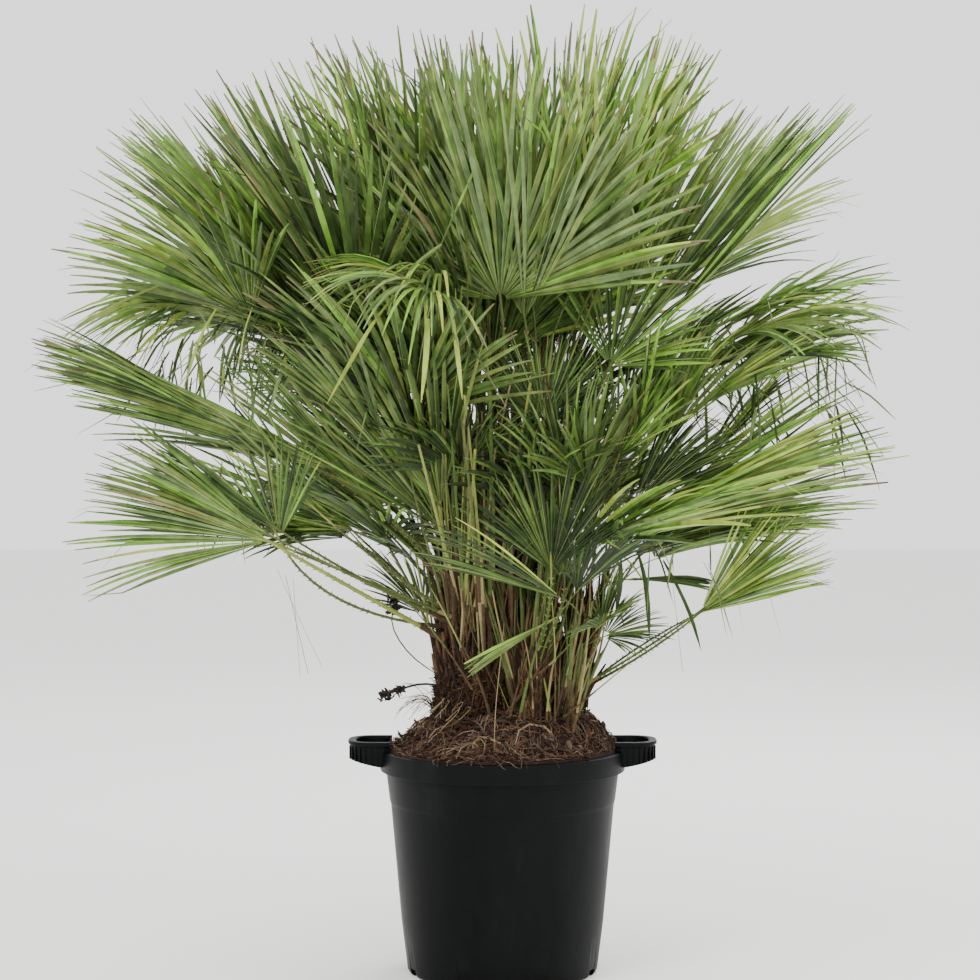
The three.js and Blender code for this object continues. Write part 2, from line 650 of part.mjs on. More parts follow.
// The whole blade as one body: the leaflets share their valley corners and the hub.
function bladeGeometry(frond, plan) {
  const { top, bottom } = hubPoints(frond, plan, 0);
  const points = [top, bottom];
  const add = (point) => points.push(point) - 1;
  const faces = [];
  const { leaflets } = plan;
  const isNotch = (i) => i < 0 || i >= leaflets.length || leaflets[i].choice.kind === 'notch';
  const valleys = [];
  for (let i = 0; i <= leaflets.length; i += 1) {
    const angle = i < leaflets.length ? leaflets[i].left : leaflets[i - 1].right;
    const reach = isNotch(i - 1) && isNotch(i) ? frond.radius * NOTCH : plan.web;
    valleys.push(add(bladePoint(frond, bladeRay(frond, plan.frame, angle, 0), reach)));
  }
  leaflets.forEach((leaflet, i) => {
    const [left, right] = [valleys[i], valleys[i + 1]];
    if (leaflet.choice.kind === 'notch') {
      const ray = bladeRay(frond, plan.frame, leaflet.middle, 0);
      const low = add(bladePoint(frond, ray, frond.radius * NOTCH));
      faces.push([0, low, left], [0, right, low], [1, left, low], [1, low, right]);
      return;
    }
    const corner = leafletPoints(frond, plan, leaflet, leaflet.choice, 0);
    const ridge = add(corner.ridge);
    faces.push([0, right, left], [1, left, ridge], [1, ridge, right]);
    if (leaflet.choice.kind === 'web') {
      faces.push([left, right, ridge]);
      return;
    }
    const [edgeLeft, edgeRight] = [add(corner.edgeLeft), add(corner.edgeRight)];
    const [keel, tip] = [add(corner.keel), add(corner.tip)];
    faces.push([left, right, edgeRight], [left, edgeRight, edgeLeft]);
    faces.push([left, edgeLeft, keel], [left, keel, ridge], [right, ridge, keel], [right, keel, edgeRight]);
    faces.push([edgeLeft, edgeRight, tip], [edgeLeft, tip, keel], [keel, tip, edgeRight]);
  });
  faces.push([0, valleys[0], 1], [0, 1, valleys[valleys.length - 1]]);
  return geometryOf(points, faces);
}

// The palm is put together from the ground up

const palm = new THREE.Group();
const PLASTIC = material(0x1c1f1d, 0.5);
const EARTH = material(0x4a3024, 0.95);
const WOOD = material(0x5b3d26, 0.9);
const GREENS = [0x5f7f35, 0x6d8a45, 0x4c6a2f, 0x7f9a4a].map((color) => material(color, 0.6));

function addPiece(name, geometry, finish) {
  const mesh = new THREE.Mesh(geometry, finish);
  mesh.name = name;
  palm.add(mesh);
}

addPiece('pot', geometryFrom(potShell()), PLASTIC);
addPiece('handle_left', geometryFrom(handleLoop(-1)), PLASTIC);
addPiece('handle_right', geometryFrom(handleLoop(1)), PLASTIC);
addPiece('soil', geometryFrom(soilBody()), EARTH);
for (const key of Object.keys(STEMS)) {
  addPiece(key === 'trunk' ? 'trunk' : `stem_${key}`, stemGeometry(STEMS[key], 0), WOOD);
}

const entry = (solid) => ({ solid, box: solid.boundingBox() });
const fronds = placeStalks(layoutFronds());
const stalks = fronds.map((frond) => solidOf(stalkGeometry(frond)));
const stemKeys = Object.keys(STEMS);
const grownStems = Object.fromEntries(stemKeys.map((key) => [key, solidOf(stemGeometry(STEMS[key], GAP))]));
const woods = Object.values(grownStems).map(entry);
const takenLeaflets = [];
const takenBlades = [];

fronds.forEach((frond, index) => {
  const plan = planBlade(frond, index);
  const otherStalks = stalks.filter((_, i) => i !== index).map(entry);
  const own = chooseLeaflets(frond, plan, [...woods, ...otherStalks, ...takenLeaflets]);
  const blade = solidOf(bladeGeometry(frond, plan));
  if (meets(blade, [...otherStalks, ...takenBlades])) return;
  takenLeaflets.push(...own.map(entry));
  takenBlades.push(entry(blade));
  const whole = blade.add(stalks[index]).subtract(grownStems[frond.stem]);
  addPiece(`frond_${frond.name}`, geometryFrom(largest(whole)), GREENS[index % GREENS.length]);
});

export default palm;
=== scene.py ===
"""A clumping European fan palm in its round plastic container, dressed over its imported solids."""
import math

import bmesh
import bpy
import numpy as np
from mathutils import Matrix, Vector, noise


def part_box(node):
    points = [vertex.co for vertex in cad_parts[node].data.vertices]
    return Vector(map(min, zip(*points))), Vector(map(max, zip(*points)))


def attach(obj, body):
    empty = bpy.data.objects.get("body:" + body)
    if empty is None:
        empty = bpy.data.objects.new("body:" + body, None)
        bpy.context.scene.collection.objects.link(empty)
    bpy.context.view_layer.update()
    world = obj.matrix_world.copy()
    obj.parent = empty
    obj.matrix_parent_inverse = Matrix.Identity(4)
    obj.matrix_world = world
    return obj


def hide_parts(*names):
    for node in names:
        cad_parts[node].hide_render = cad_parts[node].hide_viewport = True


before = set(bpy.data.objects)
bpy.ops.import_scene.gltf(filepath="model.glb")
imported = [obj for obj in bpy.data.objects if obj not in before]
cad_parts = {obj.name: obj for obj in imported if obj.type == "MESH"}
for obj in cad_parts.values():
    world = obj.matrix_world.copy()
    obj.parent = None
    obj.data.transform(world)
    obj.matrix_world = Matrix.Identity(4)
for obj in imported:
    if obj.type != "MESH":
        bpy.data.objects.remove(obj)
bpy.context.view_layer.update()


# Container. The real one is a thin tub of black plastic, moulded in one shot: it tapers to the
# foot, steps in below the neck, and has a hollow lip turned down all round. It is a spun profile
# here, with the drain slots cut out of its foot.
class Level:
    """A number that varies over a surface; sums and products of levels add their Math nodes."""

    def __init__(self, finish, socket):
        self.finish = finish
        self.socket = socket

    def maths(self, operation, first, second):
        return self.finish.node("ShaderNodeMath", {"operation": operation}, {0: first, 1: second})

    def __add__(self, other):
        return self.maths("ADD", self, other)

    def __mul__(self, other):
        return self.maths("MULTIPLY", self, other)

    __radd__ = __add__
    __rmul__ = __mul__


def paint(code):
    """A colour written as six hexadecimal digits, in the linear values that a shader takes."""
    parts = [int(code[i:i + 2], 16) / 255 for i in (0, 2, 4)]
    return [p / 12.92 if p <= 0.04045 else ((p + 0.055) / 1.055) ** 2.4 for p in parts] + [1.0]


class Finish:
    """One material: its nodes, and the shader that they end in."""

    def __init__(self, name, colour, roughness, specular=0.5):
        self.material = bpy.data.materials.new(name)
        self.material.use_nodes = True
        self.material.diffuse_color = paint(colour)
        self.tree = self.material.node_tree
        self.shader = self.tree.nodes["Principled BSDF"]
        self.vary("Base Color", paint(colour))
        self.vary("Roughness", roughness)
        self.vary("Specular IOR Level", specular)
        self.place = self.node("ShaderNodeTexCoord", output="Object")

    def node(self, kind, settings=None, sockets=None, output=0):
        made = self.tree.nodes.new(kind)
        for key, value in (settings or {}).items():
            if key == "stops":
                ramp = made.color_ramp
                for i, (where, code) in enumerate(value):
                    stop = ramp.elements[i] if i < 2 else ramp.elements.new(where)
                    stop.position = where
                    stop.color = paint(code)
            else:
                setattr(made, key, value)
        for key, value in (sockets or {}).items():
            self.feed(made.inputs[key], value)
        return Level(self, made.outputs[output])

    def feed(self, socket, value):
        if isinstance(value, Level):
            self.tree.links.new(value.socket, socket)
        else:
            socket.default_value = value

    def vary(self, name, value):
        self.feed(self.shader.inputs[name], value)

    def grain(self, scale, detail, stretch=(1, 1, 1), rough=0.6):
        """Cloudy noise from 0 to 1, drawn out along an axis where stretch is small."""
        place = self.node("ShaderNodeMapping", {}, {"Vector": self.place, "Scale": stretch})
        return self.node("ShaderNodeTexNoise", {}, {
            "Vector": place, "Scale": scale, "Detail": detail, "Roughness": rough})

    def ramp(self, level, *stops):
        return self.node("ShaderNodeValToRGB", {"stops": stops}, {"Fac": level})

    def bump(self, height, strength, distance):
        self.vary("Normal", self.node("ShaderNodeBump", {}, {
            "Height": height, "Strength": strength, "Distance": distance}))


def placed(name, data):
    """A new object of the scene, at the origin until it is moved."""
    made = bpy.data.objects.new(name, data)
    bpy.context.scene.collection.objects.link(made)
    return made


def mesh_of(name, shape):
    mesh = bpy.data.meshes.new(name)
    shape.to_mesh(mesh)
    shape.free()
    return mesh


def piece(name, shape, finishes, nodes=(), crease=35):
    """A finished piece from a bmesh or a mesh, riding on the plant's one body."""
    mesh = mesh_of(name, shape) if isinstance(shape, bmesh.types.BMesh) else shape
    mesh.polygons.foreach_set("use_smooth", [True] * len(mesh.polygons))
    mesh.set_sharp_from_angle(angle=math.radians(crease))
    for finish in finishes:
        mesh.materials.append(finish.material)
    made = placed(name, mesh)
    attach(made, "root")
    if nodes:
        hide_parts(*nodes)
    return made


BEND_STEPS = 4
WELD = 1e-6


def rounded(outline, radius):
    """The outline with each inner corner turned into a short curve."""
    points = [Vector(p) for p in outline]
    made = [points[0]]
    for before, corner, after in zip(points, points[1:], points[2:]):
        reach = min(radius, (before - corner).length / 2, (after - corner).length / 2)
        start = corner + (before - corner).normalized() * reach
        end = corner + (after - corner).normalized() * reach
        for i in range(BEND_STEPS + 1):
            t = i / BEND_STEPS
            made.append(start * (1 - t) ** 2 + corner * 2 * t * (1 - t) + end * t ** 2)
    return made + [points[-1]]


def spun(points, steps):
    """A line of points spun once round the container's upright axis."""
    shape = bmesh.new()
    corners = [shape.verts.new(p) for p in points]
    edges = [shape.edges.new(pair) for pair in zip(corners, corners[1:])]
    bmesh.ops.spin(
        shape, geom=corners + edges, cent=(0, 0, 0), axis=(0, 0, 1), dvec=(0, 0, 0),
        angle=math.tau, steps=steps, use_merge=True, use_normal_flip=False, use_duplicate=False)
    bmesh.ops.remove_doubles(shape, verts=shape.verts, dist=WELD)
    return shape


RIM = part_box("pot")[1].x
POT_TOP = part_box("pot")[1].z
BAND = 0.037
NECK, CREASE, TAPER, FOOT = 0.2144, 0.2075, 0.186, 0.175
CREASE_TOP, TAPER_TOP = 0.316, 0.094
WALL, FLOOR, LIP_WALL = 0.003, 0.004, 0.003
STEP_IN, STEP_DROP = 0.002, 0.005
FOOT_IN, FOOT_RISE = 0.004, 0.005
DRAFT, FOOT_DRAFT = 0.001, 0.0008
TUB_CORNER, TUB_SIDES = 0.003, 128
SLOTS, SLOT_WIDTH, SLOT_TOP, SLOT_DEEP = 8, 0.024, 0.014, 0.032

lip_in = RIM - LIP_WALL
band_foot = POT_TOP - BAND
outside = [
    (0, 0), (FOOT - FOOT_IN, 0), (FOOT, FOOT_RISE), (TAPER, TAPER_TOP),
    (CREASE - STEP_IN, CREASE_TOP - STEP_DROP), (CREASE, CREASE_TOP), (NECK, band_foot),
    (NECK + DRAFT, POT_TOP - LIP_WALL), (lip_in, POT_TOP - LIP_WALL), (lip_in, band_foot),
    (RIM, band_foot), (RIM, POT_TOP), (NECK - WALL + DRAFT, POT_TOP),
]
inside = [
    (NECK - WALL, band_foot), (CREASE - WALL, CREASE_TOP),
    (CREASE - STEP_IN - WALL, CREASE_TOP - STEP_DROP), (TAPER - WALL, TAPER_TOP),
    (FOOT - WALL - FOOT_DRAFT, FLOOR), (0, FLOOR),
]
tub = spun([(p.x, 0, p.y) for p in rounded(outside + inside, TUB_CORNER)], TUB_SIDES)
bmesh.ops.recalc_face_normals(tub, faces=tub.faces)

slots = bmesh.new()
for i in range(SLOTS):
    turn = Matrix.Rotation((i + 0.5) * math.tau / SLOTS, 4, "Z")
    size = Matrix.Diagonal((SLOT_DEEP, SLOT_WIDTH, 2 * SLOT_TOP, 1))
    bmesh.ops.create_cube(slots, size=1, matrix=turn @ Matrix.Translation((FOOT, 0, 0)) @ size)
cutter = placed("drain_slots", mesh_of("drain_slots", slots))

tub_finish = Finish("black_pot_plastic", "0b0d0d", roughness=0.46, specular=0.07)
dust = tub_finish.grain(scale=9, detail=5, stretch=(1, 1, 0.25), rough=0.65)
scuff = tub_finish.grain(scale=46, detail=6, stretch=(1, 1, 0.5), rough=0.7)
tub_finish.vary("Base Color", tub_finish.ramp(
    dust * 0.65 + scuff * 0.35,
    (0.36, "060707"), (0.56, "0b0d0d"), (0.72, "161919"), (0.85, "262927")))
tub_finish.vary("Roughness", dust * 0.3 + scuff * 0.15 + 0.2)
tub_finish.bump(scuff, strength=0.12, distance=0.0006)

pot = piece("pot_tub", tub, [tub_finish], ["pot"], crease=30)
cut = pot.modifiers.new("slots", "BOOLEAN")
cut.object = cutter
cut.operation = "DIFFERENCE"
cut.solver = "EXACT"
bpy.context.view_layer.update()
slotted = pot.evaluated_get(bpy.context.evaluated_depsgraph_get())
cut_mesh = bpy.data.meshes.new_from_object(slotted)
pot.modifiers.clear()
pot.data = cut_mesh
bpy.data.objects.remove(cutter)


# Handles. Each is a loop of the same black plastic that stands out of the lip, a thin wall with a
# beaded top edge and short upright ribs on its outside, and it is open from above for the fingers.
handle_low, handle_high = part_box("handle_right")
HANDLE_REACH, HANDLE_HALF = handle_high.x, handle_high.y
HANDLE_TOP, HANDLE_FOOT = handle_high.z + 0.003, handle_low.z - 0.008
HANDLE_WALL, HANDLE_INSET, HANDLE_ROOT = 0.0095, 0.0028, 0.013
HANDLE_CORNER = min(0.044, HANDLE_HALF - 0.006)
HANDLE_DRAFT, HANDLE_RAKE = 0.004, 0.012
BEAD, BEAD_HIGH, BEAD_LOW, BEAD_CORNER = 1.25, 0.008, 0.010, 0.0034
RIB_PITCH, RIB_DEEP, RIB_WIDE, RIB_SHORT = 0.0085, 0.0044, 0.0022, 0.011
STRAIGHT, WALL_STEPS, RIB_STEPS = 6, 8, 12


def loop_line(steps):
    """The loop seen from above, from one root round to the other, with outward directions."""
    half, reach = HANDLE_HALF - HANDLE_INSET, HANDLE_REACH - HANDLE_INSET
    bend = HANDLE_CORNER - HANDLE_INSET
    root = math.sqrt(RIM ** 2 - half ** 2) - HANDLE_ROOT
    line = [(Vector((root + (reach - bend - root) * i / STRAIGHT, -half, 0)), Vector((0, -1, 0)))
            for i in range(STRAIGHT)]
    back = [(Vector((p.x, -p.y, 0)), Vector((0, 1, 0))) for p, _ in reversed(line)]
    for centre_y, first in ((-half + bend, -90), (half - bend, 0)):
        for i in range(steps + 1):
            a = math.radians(first + 90 * i / steps)
            out = Vector((math.cos(a), math.sin(a), 0))
            line.append((Vector((reach - bend, centre_y, 0)) + out * bend, out))
    return line + back


def raked(place):
    """How far the foot of the loop has risen at a place, as it does towards its far end."""
    return HANDLE_RAKE * max(0.0, place.x - RIM) / (HANDLE_REACH - RIM)


def handle(side):
    loop = bmesh.new()
    height = HANDLE_TOP - HANDLE_FOOT
    bead, inner = HANDLE_WALL * BEAD, HANDLE_WALL * 0.6
    section = rounded([
        (0, 0), (0, height - BEAD_LOW), (HANDLE_INSET, height - BEAD_HIGH), (HANDLE_INSET, height),
        (-bead, height), (-bead, height - BEAD_HIGH), (-inner, height - BEAD_LOW), (-inner, 0),
        (0, 0),
    ], BEAD_CORNER)[:-1]
    rings = []
    for place, out in loop_line(WALL_STEPS):
        ring = []
        for p in section:
            low = 1 - p.y / height
            spot = place + out * (p.x - HANDLE_DRAFT * low)
            ring.append(loop.verts.new((spot.x, spot.y, HANDLE_FOOT + p.y + raked(place) * low)))
        rings.append([loop.edges.new((ring[i - 1], ring[i])) for i in range(len(ring))])
    for near, far in zip(rings, rings[1:]):
        bmesh.ops.bridge_loops(loop, edges=near + far)
    for end in (rings[0], rings[-1]):
        bmesh.ops.edgeloop_fill(loop, edges=end)
    line = loop_line(RIB_STEPS)
    walked = 0
    for (before, _), (here, out) in zip(line, line[1:]):
        walked += (here - before).length
        if walked < RIB_PITCH:
            continue
        walked = 0
        turn = out.to_track_quat("X", "Z").to_matrix().to_4x4()
        long = height - RIB_SHORT - raked(here)
        size = Matrix.Diagonal((RIB_DEEP, RIB_WIDE, long, 1))
        lift = Vector((0, 0, HANDLE_TOP - BEAD_LOW - long / 2))
        middle = here - out * HANDLE_DRAFT * 0.45 + lift
        bmesh.ops.create_cube(loop, size=1, matrix=Matrix.Translation(middle) @ turn @ size)
    bmesh.ops.recalc_face_normals(loop, faces=loop.faces)
    if side == "left":
        half_turn = Matrix.Rotation(math.pi, 3, "Z")
        bmesh.ops.rotate(loop, verts=loop.verts, cent=(0, 0, 0), matrix=half_turn)
    name = f"handle_{side}"
    piece(f"{name}_loop", loop, [tub_finish], [name], crease=30)


handle("left")
handle("right")


# Soil. The root ball's top is heaped above the rim, higher at the right: coarse red-brown bark and
# fibre. The heap is a spun disc with a rough surface, under loose chips of bark and root strands.
MM = 0.001
# Heights and lumps in millimetres, and the heap's highest side in degrees.
SOIL = {"crown": 484, "edge_rise": 10, "edge_tilt": 24, "high_side": 20, "dome": 2.4, "wide": 5,
        "small": 4}
SOIL_EDGE = NECK - WALL - 0.0005
SHOULDER, SEAL, SKIRT = 0.72, 0.003, 0.03
SPOKE, HEAP_SIDES = 42, 150
CRUMBS = ((42, 0.004), (120, 0.0035), (300, 0.002))


def soil_height(share, angle):
    side = math.cos(angle - math.radians(SOIL["high_side"]))
    edge = POT_TOP / MM + SOIL["edge_rise"] + SOIL["edge_tilt"] * side
    lumps = (SOIL["wide"] * math.sin(3 * angle + 7 * share)
             + SOIL["small"] * math.cos(5 * angle - 9 * share))
    return (edge + (SOIL["crown"] - edge) * (1 - share ** SOIL["dome"]) + lumps * share) * MM


def soil_top(x, y):
    """The heap's rough surface, rounded off where it meets the container's wall."""
    share = min(1.0, math.hypot(x, y) / SOIL_EDGE)
    height = soil_height(share, math.atan2(y, x))
    shoulder = max(0.0, (share - SHOULDER) / (1 - SHOULDER)) ** 2
    crumb = sum(deep * noise.noise(Vector((x, y, 0)) * scale) for scale, deep in CRUMBS)
    return height + (POT_TOP + SEAL - height) * shoulder + crumb


heap = spun([(SOIL_EDGE * i / SPOKE, 0, 0) for i in range(SPOKE + 1)], HEAP_SIDES)
for vert in heap.verts:
    vert.co.z = soil_top(vert.co.x, vert.co.y)
border = [edge for edge in heap.edges if edge.is_boundary]
skirt = bmesh.ops.extrude_edge_only(heap, edges=border)["geom"]
for vert in [v for v in skirt if isinstance(v, bmesh.types.BMVert)]:
    vert.co.z = POT_TOP - SKIRT
bmesh.ops.edgeloop_fill(heap, edges=[edge for edge in heap.edges if edge.is_boundary])
bmesh.ops.recalc_face_normals(heap, faces=heap.faces)


def earthy(name, dark, middle, light, scale, roughness=0.95, stretch=(1, 1, 1)):
    """A matt finish in three tones, with a rough surface."""
    made = Finish(name, middle, roughness, specular=0.2)
    cloud = made.grain(scale, 6, stretch, 0.7)
    fine = made.grain(scale * 6, 4, stretch, 0.7)
    made.vary("Base Color", made.ramp(
        cloud * 0.6 + fine * 0.4, (0.34, dark), (0.52, middle), (0.7, light)))
    made.bump(fine, strength=0.6, distance=0.002)
    return made


soil_finish = earthy("damp_soil", "1a120c", "30221a", "4c3a2d", 26)
bark_finishes = [earthy(*row, 40) for row in (
    ("bark_chip_dark", "1d130e", "2f2018", "423026"),
    ("bark_chip_red", "36231a", "4f3528", "6a4c3c"),
    ("bark_chip_grey", "43372e", "635447", "827264"),
    ("root_tan", "69573f", "847058", "9f8a70"),
    ("root_brown", "403026", "5a4638", "75604f"),
)]
piece("soil_heap", heap, [soil_finish], ["soil"])


def strip_mesh(name, batches):
    """Many thin closed strips in one mesh. A batch holds rings, as an array of strips, stations,
    corners and places, and the number of the finish of each face."""
    places, faces, tones, first = [], [], [], 0
    for rings, tone in batches:
        count, stations, sides = rings.shape[:3]
        number = np.arange(count * stations * sides).reshape(count, stations, sides) + first
        first += number.size
        beside = np.roll(number, -1, axis=2)
        quads = np.stack([number[:, :-1], beside[:, :-1], beside[:, 1:], number[:, 1:]], axis=-1)
        centre = rings.mean(axis=2)
        spokes = rings[:, 1] - centre[:, 1, None]
        area = np.cross(spokes, np.roll(spokes, -1, axis=1)).sum(axis=1)
        inward = (area * (centre[:, 1] - centre[:, 0])).sum(axis=1) < 0
        quads[inward] = quads[inward][..., ::-1]
        start, end = number[:, 0, ::-1].copy(), number[:, -1].copy()
        start[inward] = start[inward][:, ::-1]
        end[inward] = end[inward][:, ::-1]
        tone = np.broadcast_to(tone, (count, stations - 1, sides))
        places.append(rings.reshape(-1, 3))
        faces += quads.reshape(-1, 4).tolist() + start.tolist() + end.tolist()
        tones += [tone.reshape(-1), tone[:, 0, 0], tone[:, -1, 0]]
    mesh = bpy.data.meshes.new(name)
    mesh.from_pydata(np.concatenate(places).tolist(), [], faces)
    mesh.polygons.foreach_set("material_index", np.concatenate(tones).astype(np.int32))
    mesh.update()
    return mesh


def unit(v):
    return v / np.linalg.norm(v, axis=-1, keepdims=True)


def level_ways(turns):
    """Level directions at an array of angles."""
    return np.stack([np.cos(turns), np.sin(turns), np.zeros(len(turns))], axis=-1)


ROUGHLY_UP = np.array([0.13, 0.29, 0.95])


def strands(lines, widths, sides, flatness=1.0):
    """Tapering strands along lines, an array of strands and stations, with a half width at each."""
    ahead = unit(np.gradient(lines, axis=1))
    across = unit(np.cross(ahead, ROUGHLY_UP))
    up = np.cross(across, ahead)
    turns = np.arange(sides) * math.tau / sides + 0.4
    level = np.cos(turns) * widths[..., None]
    upright = np.sin(turns) * flatness * widths[..., None]
    return (lines[:, :, None] + across[:, :, None] * level[..., None]
            + up[:, :, None] * upright[..., None])


rng = np.random.default_rng(41)
CHIPS, ROOTS, SPILLED = 3500, 1800, 14
CLEAR = 0.002
PIECE_ENDS = np.array([-1, -0.4, 0.5, 1])
CHIP = {"sunk": (-0.001, 0.004), "long": (0.003, 0.012), "large": 0.14, "larger": 1.2,
        "level": (1, 1, 0.35), "shape": (0.22, 0.5, 0.45, 0.15)}
ROOT = {"stations": 7, "curl": 0.28, "turn": 0.25, "stride": (0.004, 0.014), "lift": 0.012,
        "thick": 0.04, "thicker": 0.9, "wide": (0.0004, 0.0013),
        "shape": (0.5, 1, 1, 1, 0.9, 0.7, 0.25)}
SPILL = {"towards": -103, "round": 17, "drift": 0.010, "hang": 0.007, "wide": (0.0004, 0.0009),
         "shape": (0.6, 1, 1, 1, 0.9, 0.7, 0.3)}


def scattered(count, crowding, reach):
    """Places on the heap: how far out they are, and their x and y."""
    radius = SOIL_EDGE * rng.random(count) ** crowding * reach
    angle = rng.random(count) * math.tau
    return radius, np.stack([radius * np.cos(angle), radius * np.sin(angle)], axis=-1)


def tapered(draw, sizes, count, shape):
    """Half widths of strands: a random size for each of them, and one shape along them all."""
    return draw.uniform(*sizes, (count, 1)) * np.array(shape)


def lie_on_heap(line):
    return [soil_top(x, y) + CLEAR for x, y in line[:, :2]]


radius, spot = scattered(CHIPS, 0.4, 0.99)
height = np.array([soil_top(x, y) for x, y in spot]) + rng.uniform(*CHIP["sunk"], CHIPS)
chip_place = np.concatenate([spot, height[:, None]], axis=1)
chip_way = unit(rng.normal(size=(CHIPS, 3)) * CHIP["level"])
chip_long = rng.uniform(*CHIP["long"], CHIPS)
chip_long *= 1 + CHIP["larger"] * (rng.random(CHIPS) > 1 - CHIP["large"])
chip_long *= np.interp(radius, (0.6 * SOIL_EDGE, SOIL_EDGE), (1, 0.55))
chip_line = chip_place[:, None] + chip_way[:, None] * (PIECE_ENDS * chip_long[:, None])[..., None]
chip_wide = chip_long[:, None] * np.array(CHIP["shape"]) * rng.uniform(0.5, 1, (CHIPS, 1))
chip_tone = rng.choice(3, CHIPS, p=[0.45, 0.38, 0.17])[:, None, None]

root_line = np.zeros((ROOTS, ROOT["stations"], 3))
root_line[:, 0, :2] = scattered(ROOTS, 0.5, 0.98)[1]
way = rng.random(ROOTS) * math.tau
curl = rng.normal(0, ROOT["curl"], ROOTS)
root_size = 1 + ROOT["thicker"] * (rng.random((ROOTS, 1)) > 1 - ROOT["thick"])
for k in range(1, ROOT["stations"]):
    way = way + curl + rng.normal(0, ROOT["turn"], ROOTS)
    stride = rng.uniform(*ROOT["stride"], (ROOTS, 1)) * root_size
    root_line[:, k] = root_line[:, k - 1] + stride * level_ways(way)
reach = np.hypot(root_line[..., 0], root_line[..., 1])
root_line[..., :2] *= np.minimum(1, SOIL_EDGE * 0.99 / np.maximum(reach, 1e-6))[..., None]
arch = np.sin(np.linspace(0.2, 3.0, ROOT["stations"])) ** 2
root_lift = rng.uniform(0, ROOT["lift"], (ROOTS, 1)) * arch
root_line[..., 2] = [lie_on_heap(line) for line in root_line]
root_line[..., 2] += root_lift
root_wide = rng.uniform(*ROOT["wide"], (ROOTS, 1)) * root_size * np.array(ROOT["shape"])
root_tone = rng.choice([3, 4, 0, 1, 2], ROOTS, p=[0.12, 0.3, 0.22, 0.18, 0.18])[:, None, None]

# A strand that spills over the lip: distance past the heap's edge, height, and share of its hang.
LAY = ((-0.040, 0.012, 0), (-0.022, 0.012, 0), (-0.006, 0.008, 0), (0.006, 0.0045, 0),
       (0.0165, 0.003, 0.05), (0.0185, -0.001, 0.5), (0.019, -0.002, 1))
spill_side = level_ways(np.radians(rng.normal(SPILL["towards"], SPILL["round"], SPILLED)))
spill_drift = rng.normal(0, SPILL["drift"], (SPILLED, 1))
spill_hang = rng.uniform(0, SPILL["hang"], (SPILLED, 1)) * (rng.random((SPILLED, 1)) > 0.3)
beside = np.stack([-spill_side[:, 1], spill_side[:, 0]], axis=-1)
spill_line = np.zeros((SPILLED, len(LAY), 3))
for k, (out, rise, hang) in enumerate(LAY):
    spill_line[:, k] = spill_side * (SOIL_EDGE + out * rng.uniform(0.92, 1, (SPILLED, 1)))
    spill_line[:, k, :2] += beside * spill_drift * (k / 3 - 1)
    loose = rng.uniform(0, 0.003, SPILLED)
    spill_line[:, k, 2] = POT_TOP + rise + loose - (spill_hang * hang)[:, 0]
    if k < 3:
        spill_line[:, k, 2] = lie_on_heap(spill_line[:, k])
spill_wide = tapered(rng, SPILL["wide"], SPILLED, SPILL["shape"])
spill_tone = rng.choice([3, 4, 1], SPILLED, p=[0.55, 0.3, 0.15])[:, None, None]

litter = strip_mesh("soil_litter", [
    (strands(chip_line, chip_wide, 4, 0.45), chip_tone),
    (strands(root_line, root_wide, 3), root_tone),
    (strands(spill_line, spill_wide, 3), spill_tone),
])
piece("soil_litter", litter, bark_finishes)


# Stems. Five stems stand in the root ball: wood wrapped in brown fibre and in the stubs of old
# leaf bases, set in a spiral. The core is a cone with bark relief; stubs and fibre lie on it, and
# a dark torn mass round the trunk's foot.
# Places and radii in millimetres; flare is what the foot adds to the radius.
STEM_KEYS = ("foot", "top", "wide", "slim", "flare", "stubs")
STEMS = {name: dict(zip(STEM_KEYS, row)) for name, *row in (
    ("trunk", (-48, 0, 468), (-42, -12, 800), 70, 46, 8, 300),
    ("tall", (60, 62, 470), (22, 40, 910), 40, 29, 4, 230),
    ("right", (118, 0, 466), (152, -10, 640), 27, 19, 4, 70),
    ("front", (44, -84, 462), (54, -100, 590), 23, 16, 3, 50),
    ("rear", (-34, 126, 460), (-64, 178, 620), 26, 18, 4, 60),
)}
FLARE_END = 0.2
CORE, CORE_SIDES, CORE_STEP = 0.86, 48, 0.006
GOLDEN = math.radians(137.5)
# Bark relief: how fine it is round the stem and along it, and how deep.
BARK = ((70, 22, 0.07), (240, 34, 0.035))
# Stations of a leaf base: share of its length, width, distance from the wood, thickness.
STUB_STATIONS = ((0, 0.8, -6, 0.5), (0.2, 1, -2, 1), (0.5, 0.72, 1, 1), (0.8, 0.5, 2.5, 0.9),
                 (1, 0.42, 4, 0.5))
STUB_SECTION = ((-1, 0), (-0.55, 1), (0.55, 1), (1, 0), (0.5, -0.8), (-0.5, -0.8))
# Sizes in millimetres: a size that grows with the stem is its own part and the share of the stem.
STUB = {"long": (60, 0.75), "vary": (0.7, 1.4), "thick": (2.4, 0.045), "width": (0.06, 0.19),
        "past_top": (1.05, 34), "turn": 0.25, "lean": 0.22, "tip": 0.2, "hollow": 0.30}
FIBRE = {"for_each_mm": 24, "stations": 6, "long": (25, 120), "proud": (-2, 9), "lift": 7,
         "wide": (0.5, 1.5), "shape": (0.6, 1, 1, 0.9, 0.7, 0.2)}
TORN = {"count": 1100, "low": 6, "high": 96, "proud": (-2, 11), "long": (5, 17),
        "wide": (0.9, 3.6), "shape": (0.4, 1, 0.9, 0.3)}


def stem_at(key, share):
    """The middle and the radius of a stem, in millimetres."""
    stem = STEMS[key]
    foot, top = np.array(stem["foot"], float), np.array(stem["top"], float)
    return foot + (top - foot) * share, stem["wide"] + (stem["slim"] - stem["wide"]) * share


def level_way(turn):
    return np.array([math.cos(turn), math.sin(turn), 0])


